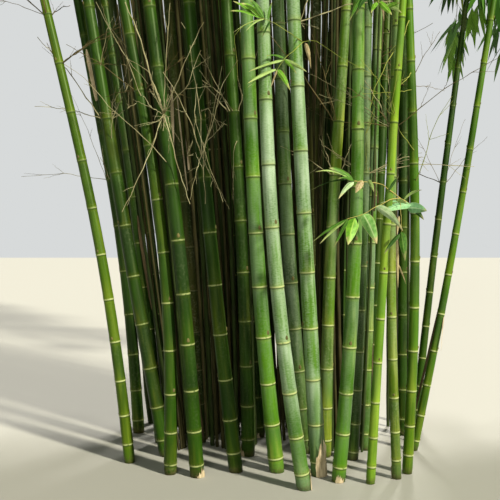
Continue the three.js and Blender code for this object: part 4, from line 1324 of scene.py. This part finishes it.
# The spray at the right: where its stalks pass and where its leaves start and end, each as across and down
# in the picture and how far back, with a leaf's width, how far it is turned away, and its skin.
right_root = skin_at(18, 1.64, -115)
RIGHT_FORK = (400, 198, -0.72)
RIGHT_STALKS = [
    ([right_root, RIGHT_FORK, (383, 185, -0.82), (374, 182, -0.85), (354, 181, -0.9)], 0.0075),
    ([RIGHT_FORK, (389, 200, -0.79), (376, 207, -0.85), (362, 215, -0.89), (347, 219, -0.93)], 0.0055),
    ([RIGHT_FORK, (401, 215, -0.76), (402, 236, -0.79)], 0.0035),
]
RIGHT_LEAVES = [
    ((353.5, 181, -0.90), (315, 172, -0.99), 0.017, 40, "pale"),
    ((353.5, 181, -0.90), (329, 168, -0.96), 0.034, 25, "mid"),
    ((354, 181, -0.90), (338, 179, -1.00), 0.020, 30, "mid"),
    ((354, 182, -0.90), (338.5, 199, -0.97), 0.030, 20, "grey"),
    ((356, 180, -0.89), (310, 191, -0.86), 0.017, 55, "deep"),
    ((362, 180, -0.88), (355.5, 193, -0.90), 0.040, 25, "dry"),
    ((368, 180.5, -0.87), (374, 192, -0.90), 0.026, 30, "pale"),
    ((347, 219, -0.93), (312.5, 242, -0.99), 0.024, 50, "mid"),
    ((347, 219, -0.93), (319.6, 244, -0.92), 0.017, 30, "pale"),
    ((348, 219, -0.93), (334, 247, -0.99), 0.028, 40, "mid"),
    ((355, 218, -0.91), (348, 245, -0.96), 0.066, 8, "fresh"),
    ((356, 217, -0.91), (352.5, 248, -0.90), 0.040, 50, "deep"),
    ((363, 214, -0.89), (377, 244, -0.94), 0.072, 8, "edged"),
    ((376, 207, -0.85), (403, 231, -0.89), 0.048, 20, "grey"),
    ((411, 205, -0.70), (383, 212, -0.80), 0.050, 20, "blue"),
    ((408, 203, -0.68), (380, 203, -0.78), 0.020, 50, "blue"),
    ((407, 208, -0.68), (427, 211, -0.74), 0.064, 5, "blue"),
    ((396, 201, -0.76), (407, 204, -0.80), 0.024, 30, "pale"),
    ((401, 232, -0.79), (405, 261, -0.82), 0.048, 25, "mid"),
    ((400, 234, -0.79), (384, 254, -0.82), 0.026, 35, "deep"),
    ((399, 216, -0.77), (397, 236, -0.78), 0.015, 20, "dry"),
    ((397, 238, -0.78), (398, 288, -0.76), 0.016, 20, "dry"),
    ((397, 262, -0.77), (406, 284, -0.75), 0.010, 30, "dry"),
    ((410, 204, -0.66), (424, 220, -0.70), 0.036, 25, "deep"),
    ((389, 191, -0.79), (399, 176, -0.83), 0.020, 35, "deep"),
    ((404, 200, -0.66), (422, 190, -0.72), 0.022, 40, "pale"),
]

# A small spray at the top of what the view shows, over the culms at the right.
top_root = skin_at(13, 2.92, -80)
TOP_STALKS = [
    ([top_root, (366, -4, -0.86), (378, 2, -0.90), (388, 7, -0.92)], 0.0045),
    ([(378, 2, -0.90), (386, -12, -0.92), (396, -22, -0.92)], 0.0035),
]
TOP_LEAVES = [
    ((366, -4, -0.86), (356, 15, -0.90), 0.034, 25, "deep"),
    ((369, -3, -0.87), (372, 18, -0.90), 0.030, 25, "deep"),
    ((362, -4, -0.85), (349, 22, -0.91), 0.026, 30, "mid"),
    ((379, 2, -0.90), (392, 15, -0.94), 0.034, 20, "fresh"),
    ((377, 2, -0.90), (371, 13, -0.94), 0.028, 30, "fresh"),
    ((388, 7, -0.92), (400, 3, -0.96), 0.024, 30, "fresh"),
    ((381, 3, -0.90), (384, 21, -0.92), 0.016, 30, "dry"),
    ((385, 5, -0.91), (402, 13, -0.94), 0.024, 35, "pale"),
    ((386, -11, -0.92), (374, -4, -0.96), 0.026, 30, "fresh"),
    ((390, -15, -0.92), (400, -4, -0.96), 0.026, 30, "mid"),
]

# The spray in the middle, high on the culm beside the nearest one.
middle_root = skin_at(11, 2.62, -75)
MIDDLE_FORK = (303, 42, -0.74)
MIDDLE_STALKS = [
    ([middle_root, MIDDLE_FORK, (284, 29, -0.91), (273, 22, -0.97), (262, 18, -0.99)], 0.0055),
    ([MIDDLE_FORK, (292, 52, -0.85), (284, 59, -0.93), (277, 70, -0.95)], 0.0045),
    ([MIDDLE_FORK, (314, 40, -0.76), (334, 53, -0.88), (356, 66, -0.92), (377, 77, -0.93)], 0.0035),
    ([(262, 18, -0.99), (243, 26, -1.0), (234, 36, -1.01), (237, 58, -1.02), (238, 81, -1.03)], 0.0025),
]
MIDDLE_LEAVES = [
    ((262, 18, -0.99), (241, 3, -1.02), 0.032, 20, "fresh"),
    ((262, 18, -0.99), (233, 1, -0.97), 0.028, 30, "fresh"),
    ((264, 18, -0.99), (249, -2, -1.05), 0.030, 15, "mid"),
    ((262, 18, -0.99), (230, 11, -1.00), 0.026, 35, "fresh"),
    ((263, 19, -0.99), (232.7, 33, -1.00), 0.011, 40, "pale"),
    ((264, 19, -0.99), (246, 31, -1.05), 0.012, 30, "pale"),
    ((268, 20, -0.98), (272, 2, -1.00), 0.018, 30, "mid"),
    ((270, 21, -0.98), (262, 38, -1.02), 0.014, 30, "deep"),
    ((283, 60, -0.93), (248, 72, -0.98), 0.022, 30, "pale"),
    ((276, 69, -0.95), (247.5, 83.5, -1.00), 0.022, 25, "pale"),
    ((277, 70, -0.95), (247.5, 88, -0.96), 0.018, 40, "pale"),
    ((277, 70, -0.95), (270.6, 88, -0.95), 0.014, 40, "dry"),
    ((277, 70, -0.95), (290, 90, -0.98), 0.030, 15, "fresh"),
    ((284, 60, -0.93), (307, 72, -0.95), 0.024, 25, "pale"),
    ((284, 60, -0.93), (296.6, 74, -0.97), 0.018, 30, "fresh"),
    ((284, 58, -0.92), (266, 56, -0.99), 0.018, 30, "mid"),
    ((305, 43, -0.74), (311, 69, -0.76), 0.026, 25, "dry"),
]


# A path through a row's marks, where the first may be a point already.
def marked_path(marks, kink):
    return kinked_path([mark if isinstance(mark, np.ndarray) else seen_at(*mark) for mark in marks], kink)


for name, stalks, leaves, skin in (
    ("right", RIGHT_STALKS, RIGHT_LEAVES, STALK_STRAW),
    ("middle", MIDDLE_STALKS, MIDDLE_LEAVES, STALK_GREEN),
    ("top", TOP_STALKS, TOP_LEAVES, STALK_GREEN),
):
    spray = make_low_leaves(f"low_leaves_{name}", leaves)
    stalks = [(marked_path(marks, STALK_KINK), width) for marks, width in stalks]
    make_stalks(f"low_stalks_{name}", stalks, skin)
    if name != "top":
        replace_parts(spray, f"leafy_spray_{name}")


# The dry twigs: thin leafless branches that died on the lower joints. They are pale brown, kinked at their
# nodes, and cross in front of the culms and between them.
LEFT_TWIGS = [
    ([(152, 80, -0.76), (143, 50, -0.82), (138, 32, -0.84), (125, 2, -0.88)], 0.011),
    ([(166, 60, -0.74), (170, 3, -0.76)], 0.005),
    ([(178, 80, -0.80), (190, 50, -0.86), (204, 22, -0.92)], 0.0065),
    ([(174, 100, -0.76), (188, 84, -0.82), (201, 50, -0.86)], 0.005),
    ([(147, 160, -0.78), (130, 196, -0.84), (122, 212, -0.86)], 0.0065),
    ([(171, 140, -0.72), (177, 163, -0.68), (190, 204, -0.66)], 0.008),
    ([(152, 108, -0.72), (143, 96, -0.78)], 0.005),
    ([(156, 100, -0.72), (150, 72, -0.8), (126, 58, -0.9)], 0.0042),
    ([(161, 103, -0.76), (158, 93, -0.78)], 0.0075),
    ([(166, 104, -0.75), (168, 94, -0.77)], 0.0075),
    ([(160, 119, -0.74), (158, 127, -0.75)], 0.0065),
    ([(168, 118, -0.73), (170, 128, -0.74)], 0.0065),
    ([(164, 120, -0.75), (163, 131, -0.76)], 0.0055),
]
MIDDLE_TWIGS = [
    ([(190, 120, -0.62), (176, 92, -0.72), (163, 72, -0.80)], 0.0075),
    ([(200, 110, -0.64), (194, 76, -0.66), (190, 45, -0.7)], 0.0055),
    ([(213, 122, -0.66), (222, 86, -0.72), (238, 60, -0.78)], 0.0065),
    ([(212, 178, -0.60), (226, 202, -0.66)], 0.005),
    ([(208, 140, -0.62), (224, 124, -0.68)], 0.0042),
    ([(196, 172, -0.60), (190, 200, -0.6)], 0.005),
]

# Lone twigs. Each row has the culm it grew on, the height of its joint and the side it leaves from too.
# Those of the culms at the right are still green.
GREEN_TWIGS_FROM = 12
LONE_TWIGS = [
    (4, 2.60, -60, [(108, 24, -0.3), (120, 40, -0.5), (130, 63, -0.62), (148, 84, -0.7)], 0.005),
    (6, 1.90, -110, [(150, 143, -0.72), (112, 110, -0.8), (87, 80, -0.86), (64, 64, -0.92)], 0.0042),
    (4, 2.12, -70, [(113, 98, -0.3), (110, 128, -0.36)], 0.005),
    (7, 1.66, -100, [(203, 150, -0.6), (212, 118, -0.66), (222, 66, -0.72)], 0.005),
    (7, 2.38, -80, [(194, 117, -0.62), (204, 150, -0.66), (223, 202, -0.7)], 0.0042),
    (7, 2.22, -60, [(208, 108, -0.6), (221, 127, -0.64)], 0.0055),
    (8, 2.10, -80, [(234, 150, -0.2), (233, 200, -0.22)], 0.005),
    (5, 2.30, -80, [(128, 60, -0.72), (112, 34, -0.8), (96, 2, -0.86)], 0.005),
    (18, 2.75, -110, [(402, 40, -0.72), (388, 60, -0.82), (376, 84, -0.88), (370, 108, -0.92)], 0.0065),
    (18, 2.44, -110, [(404, 82, -0.70), (395, 89, -0.76)], 0.0065),
    (18, 2.34, -110, [(396, 92, -0.76), (362, 94, -0.86)], 0.0042),
    (17, 2.20, -100, [(378, 80, -0.86), (360, 58, -0.92)], 0.0042),
    (18, 1.98, -100, [(398, 128, -0.74), (392, 100, -0.84), (400, 62, -0.9)], 0.0042),
    (18, 1.80, -80, [(424, 160, -0.66), (432, 130, -0.72), (452, 96, -0.8)], 0.005),
    (14, 1.90, -80, [(366, 130, -0.86), (374, 108, -0.92)], 0.0042),
]
TWIG_KINK = 0.004
SIDE_TWIGS = 3
SIDE_TWIG_NODES = 3
SIDE_TWIG_TURN = (0.5, 1.1)
SIDE_TWIG_LENGTH = (0.05, 0.16)
SIDE_TWIG_WIDTH = 0.0026
SIDE_TWIG_KINK = 0.0025
BUNCHES = 64
BUNCH_HEIGHT = (1.9, 4.4)
BUNCH_TWIGS = 4
BUNCH_TRIES = 28
BUNCH_LENGTH = (0.22, 0.85)
BUNCH_RISE = (5, 72)
BUNCH_SAG = 0.1
BUNCH_WIDTH = (0.0035, 0.0075)
ROOT_STATIONS = 2
CULM_CLEARANCE = 0.008

PALE_TWIG = dry_material("pale_twig", (0.40, 0.37, 0.22), (0.17, 0.14, 0.07), 0.35)
BROWN_TWIG = dry_material("brown_twig", (0.17, 0.13, 0.055), (0.065, 0.045, 0.02), 0.5)


# How far points are from the skin of the nearest culm, low down where culms stand nearly upright.
def gap_at(points):
    heights = points[..., 2]
    gaps = []
    for culm in culms:
        x, y, z = culm.points[:LOW_POINTS].T
        away = np.hypot(points[..., 0] - np.interp(heights, z, x), points[..., 1] - np.interp(heights, z, y))
        gaps.append(away - culm.radius_at(heights))
    return np.min(gaps, axis=0)


# Short fine twigs from the nodes of a longer one, where they clear the culms.
def side_twigs(path):
    made = []
    for _ in range(SIDE_TWIGS):
        number = next(numbers)
        node = NODE_EVERY * (1 + int(SIDE_TWIG_NODES * chance(number, 95)))
        ahead = unit(path[node] - path[node - 1])
        aside = unit(between((-1, 1), number, np.arange(3), 96))
        way = unit(ahead + aside * between(SIDE_TWIG_TURN, number, 97))
        tip = path[node] + way * between(SIDE_TWIG_LENGTH, number, 98)
        if gap_at(tip) > 0:
            made.append((kinked_path([path[node], tip], SIDE_TWIG_KINK), SIDE_TWIG_WIDTH))
    return made


# A bunch of nearly straight twigs from one joint, in the first few of many directions that clear the culms.
def bunch_at(number):
    culm = culms[int(len(culms) * chance(number, 101))]
    along = culm.joints[np.argmin(abs(culm.joints - between(BUNCH_HEIGHT, number, 102)))]
    made = []
    for which in range(BUNCH_TRIES):
        heading = 2 * math.pi * chance(number, which, 103)
        rise = math.radians(between(BUNCH_RISE, number, which, 104))
        level = np.array([math.cos(heading), math.sin(heading), 0])
        way = level * math.cos(rise) + UP * math.sin(rise)
        root = culm.point_at(along) + level * culm.radius_at(along)
        reach = between(BUNCH_LENGTH, number, which, 105)
        marks = [root, root + way * reach / 2, root + (way - UP * BUNCH_SAG) * reach]
        path = kinked_path(marks, TWIG_KINK)
        if len(made) < BUNCH_TWIGS and gap_at(path[ROOT_STATIONS:]).min() > CULM_CLEARANCE:
            made.append((path, between(BUNCH_WIDTH, number, which, 106)))
    return made


# Twigs as one piece, with their side twigs.
def make_twigs(name, twigs, skin):
    finer = [side for path, _ in twigs for side in side_twigs(path)]
    return make_stalks(name, twigs + finer, skin)


for name, root, rows in (
    ("left", skin_at(6, 2.18, -80), LEFT_TWIGS),
    ("middle", skin_at(7, 1.95, -95), MIDDLE_TWIGS),
):
    twigs = [(marked_path([root, *marks], TWIG_KINK), width) for marks, width in rows]
    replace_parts(make_twigs(f"dry_bunch_{name}", twigs, PALE_TWIG), f"dry_twigs_{name}")

lone = {"dry": [], "green": []}
for number, height, side, marks, width in LONE_TWIGS:
    path = marked_path([skin_at(number, height, side), *marks], TWIG_KINK)
    lone["dry" if number < GREEN_TWIGS_FROM else "green"].append((path, width))
make_twigs("lone_dry_twigs", lone["dry"], PALE_TWIG)
make_twigs("lone_green_twigs", lone["green"], STALK_GREEN)
bunches = [bunch_at(number) for number in range(BUNCHES)]
for name, skin, kept in (
    ("pale", PALE_TWIG, bunches[::3]),
    ("brown", BROWN_TWIG, bunches[1::3] + bunches[2::3]),
):
    make_twigs(f"dry_bunches_{name}", [twig for bunch in kept for twig in bunch], skin)


# The dead shoots: thin stems that never grew up and died standing between the culms, brown or grey, with
# broken tips. They fill the inside of the clump, and their near-black colours are partly painted shade there.
SHOOTS = 160
SHOOT_TRIES = 2600
SHOOT_WIDTH = (0.012, 0.034)
SHOOT_HEIGHT = (3.1, 4.9)
SHOOT_REACH = 0.86
SHOOT_FRONT = 0.0
SHOOT_RIGHT = 0.44
SHOOT_BETWEEN = (0.2, 0.8)
SHOOT_SWAY = (-0.05, 0.05)
SHOOT_SWAY_TURN = 2
SHOOT_TAPER = 0.25
SHOOT_SWELL = 0.22
SHOOT_STATIONS = 19
SHOOT_SIDES = 7
SHOOT_CLEARANCE = 0.002
NEIGHBOURS = 6

# Near-black, partly as painted shade inside the clump.
GREY_SHOOT_AND_SHADE = dry_material("grey_shoot_and_shade", (0.034, 0.054, 0.013), (0.012, 0.020, 0.005), 0.5)
BROWN_SHOOT_AND_SHADE = dry_material("brown_shoot_and_shade", (0.050, 0.041, 0.015), (0.016, 0.014, 0.005), 0.5)

# The shoots behind the widest gaps, dark stems that stand partly as painted shade where the clump's inside
# shows through: how far back they stand, where the view shows them at its top, a fifth and two fifths down
# and at the ground, and their width.
PLACED_DOWN = (0, 100, 200)
PLACED_SHOOTS = [
    (0.80, (98, 113, 128, 152), 0.060),
    (0.90, (108, 124, 138, 158), 0.046),
    (0.62, (115, 129, 140, 158), 0.040),
    (0.70, (134, 149, 163, 176), 0.052),
    (0.95, (141, 153.5, 166, 180), 0.050),
    (0.85, (179, 186.5, 193.5, 201), 0.038),
    (0.75, (255, 258, 262, 279), 0.030),
    (0.60, (269.5, 273.5, 277.5, 290), 0.030),
    (0.70, (284.5, 289, 295, 304), 0.034),
    (0.55, (302.5, 307, 309.5, 310), 0.050),
    (0.70, (325, 324.5, 322, 319), 0.064),
    (0.55, (160.5, 171, 180, 196), 0.044),
    (0.70, (392, 388.5, 388, 388), 0.026),
    (0.66, (399, 398, 396, 396), 0.026),
    (0.30, (409.5, 409, 408.5, 408), 0.018),
]
LEAN_BACK = 0.035

feet = np.array([culm.points[0] for culm in culms])
near_order = np.argsort(np.linalg.norm(feet[:, None] - feet[None], axis=-1), axis=1)[:, 1 : NEIGHBOURS + 1]


# A shoot that stands between two neighbouring culms and follows them up, or nothing where it has no room.
def shoot_between(number, standing):
    one = int(len(culms) * chance(number, 111))
    other = near_order[one, int(NEIGHBOURS * chance(number, 112))]
    along = np.linspace(0, between(SHOOT_HEIGHT, number, 114), SHOOT_STATIONS)
    share = between(SHOOT_BETWEEN, number, 113)
    path = mix(culms[one].point_at(along), culms[other].point_at(along), share)
    sway = between(SHOOT_SWAY, number, np.array([116, 117]))
    path[:, :2] += sway * np.sin(SHOOT_SWAY_TURN * along / along[-1])[:, None]
    path[:, 2] = along
    radius = between(SHOOT_WIDTH, number, 115) / 2
    inside = math.dist(path[0, :2], CLUMP_MIDDLE) < SHOOT_REACH
    inside = inside and path[0, 1] > SHOOT_FRONT and path[0, 0] < SHOOT_RIGHT
    if not inside or gap_at(path).min() < radius + SHOOT_CLEARANCE:
        return None
    for other_path, other_radius in standing:
        beside = np.stack([np.interp(along, other_path[:, 2], other_path[:, i]) for i in range(2)], -1)
        if np.linalg.norm(path[:, :2] - beside, axis=1).min() < radius + other_radius + SHOOT_CLEARANCE:
            return None
    return path, radius


# A shoot from the ground through its marks in the view, and on past the last one the same way. It leans
# back a little, and is moved aside so much that the view still shows it at its marks.
def placed_shoot(back, across, wide):
    ground = PICTURE_HALF + VIEW_HEIGHT / picture_scale(back)
    marks = [seen_at(x, y, back) for x, y in zip(across, (*PLACED_DOWN, ground))][::-1]
    marks.append(2 * marks[-1] - marks[-2])
    x, _, z = np.array(marks).T
    path = np.zeros((SHOOT_STATIONS, 3))
    path[:, 2] = np.linspace(0, z[-1], SHOOT_STATIONS)
    path[:, 0] = np.interp(path[:, 2], z, x)
    path[:, 1] = back + LEAN_BACK * path[:, 2]
    path[:, 0] += (path[:, 0] - VIEW_ASIDE) * LEAN_BACK * path[:, 2] / (VIEW_BACK + back)
    return path, wide / 2


shoots = [placed_shoot(*row) for row in PLACED_SHOOTS]
for number in range(SHOOT_TRIES):
    shoot = shoot_between(number, shoots)
    if shoot:
        shoots.append(shoot)
    if len(shoots) == SHOOTS:
        break
station = np.arange(SHOOT_STATIONS)
shape = (1 - SHOOT_TAPER * station / SHOOT_STATIONS) * (1 + SHOOT_SWELL * (station % 2))
for name, skin, kept in (("grey", GREY_SHOOT_AND_SHADE, shoots[::2]), ("brown", BROWN_SHOOT_AND_SHADE, shoots[1::2])):
    radii = np.array([[radius] for _, radius in kept])
    points, faces, straight = tubes_along(np.stack([path for path, _ in kept]), radii * shape, SHOOT_SIDES)
    points[:, 2] = np.maximum(points[:, 2], 0)
    make_grown_piece(f"dead_shoots_{name}", [(points, faces, straight)], skin)


# The stage: a wide pale floor under a pale room, with soft light from both sides of the front. The light
# that reaches into the clump is dimmer than what the room shows, as under a closed crown.
FLOOR_HALF = 120
FLOOR_DROP = 0.002
corners = [(x * FLOOR_HALF, y * FLOOR_HALF, -FLOOR_DROP) for x, y in ((-1, -1), (1, -1), (1, 1), (-1, 1))]
floor_mesh = bpy.data.meshes.new("floor")
floor_mesh.from_pydata(corners, [], [(0, 1, 2, 3)])
floor_mesh.materials.append(plain_material("pale_floor", (0.46, 0.45, 0.42), 0.9, 0.2))
floor = bpy.data.objects.new("floor", floor_mesh)
bpy.context.scene.collection.objects.link(floor)

ROOM_COLOR = (0.68, 0.70, 0.70, 1)
LIGHT_COLOR = (0.66, 0.70, 0.58, 1)
ROOM_LIGHT = 0.22

world = bpy.data.worlds.new("pale_room")
world.use_nodes = True
room = world.node_tree
shown = room.nodes["Background"]
shown.inputs["Color"].default_value = ROOM_COLOR
lit = add_node(room, "ShaderNodeBackground", Color=LIGHT_COLOR, Strength=ROOM_LIGHT)
path = room.nodes.new("ShaderNodeLightPath")
either = add_node(room, "ShaderNodeMixShader", n0=path.outputs["Is Camera Ray"], n1=lit.outputs[0])
room.links.new(shown.outputs[0], either.inputs[2])
room.links.new(either.outputs[0], room.nodes["World Output"].inputs["Surface"])
bpy.context.scene.world = world


# A far light, by the way it comes from and how wide it is in the sky, in degrees.
def add_sun(name, azimuth, elevation, strength, softness, color):
    light = bpy.data.lights.new(name, "SUN")
    light.energy = strength
    light.angle = math.radians(softness)
    light.color = color
    lamp = bpy.data.objects.new(name, light)
    lamp.rotation_euler = (math.radians(90 - elevation), 0, math.radians(azimuth))
    bpy.context.scene.collection.objects.link(lamp)


add_sun("key_light", azimuth=46, elevation=27, strength=5.8, softness=4, color=(1, 0.96, 0.78))
add_sun("fill_light", azimuth=-8, elevation=16, strength=0.9, softness=25, color=(0.97, 1, 0.88))
add_sun("top_light", azimuth=160, elevation=58, strength=3.4, softness=8, color=(1, 0.97, 0.9))
bpy.context.scene.view_settings.view_transform = "Standard"
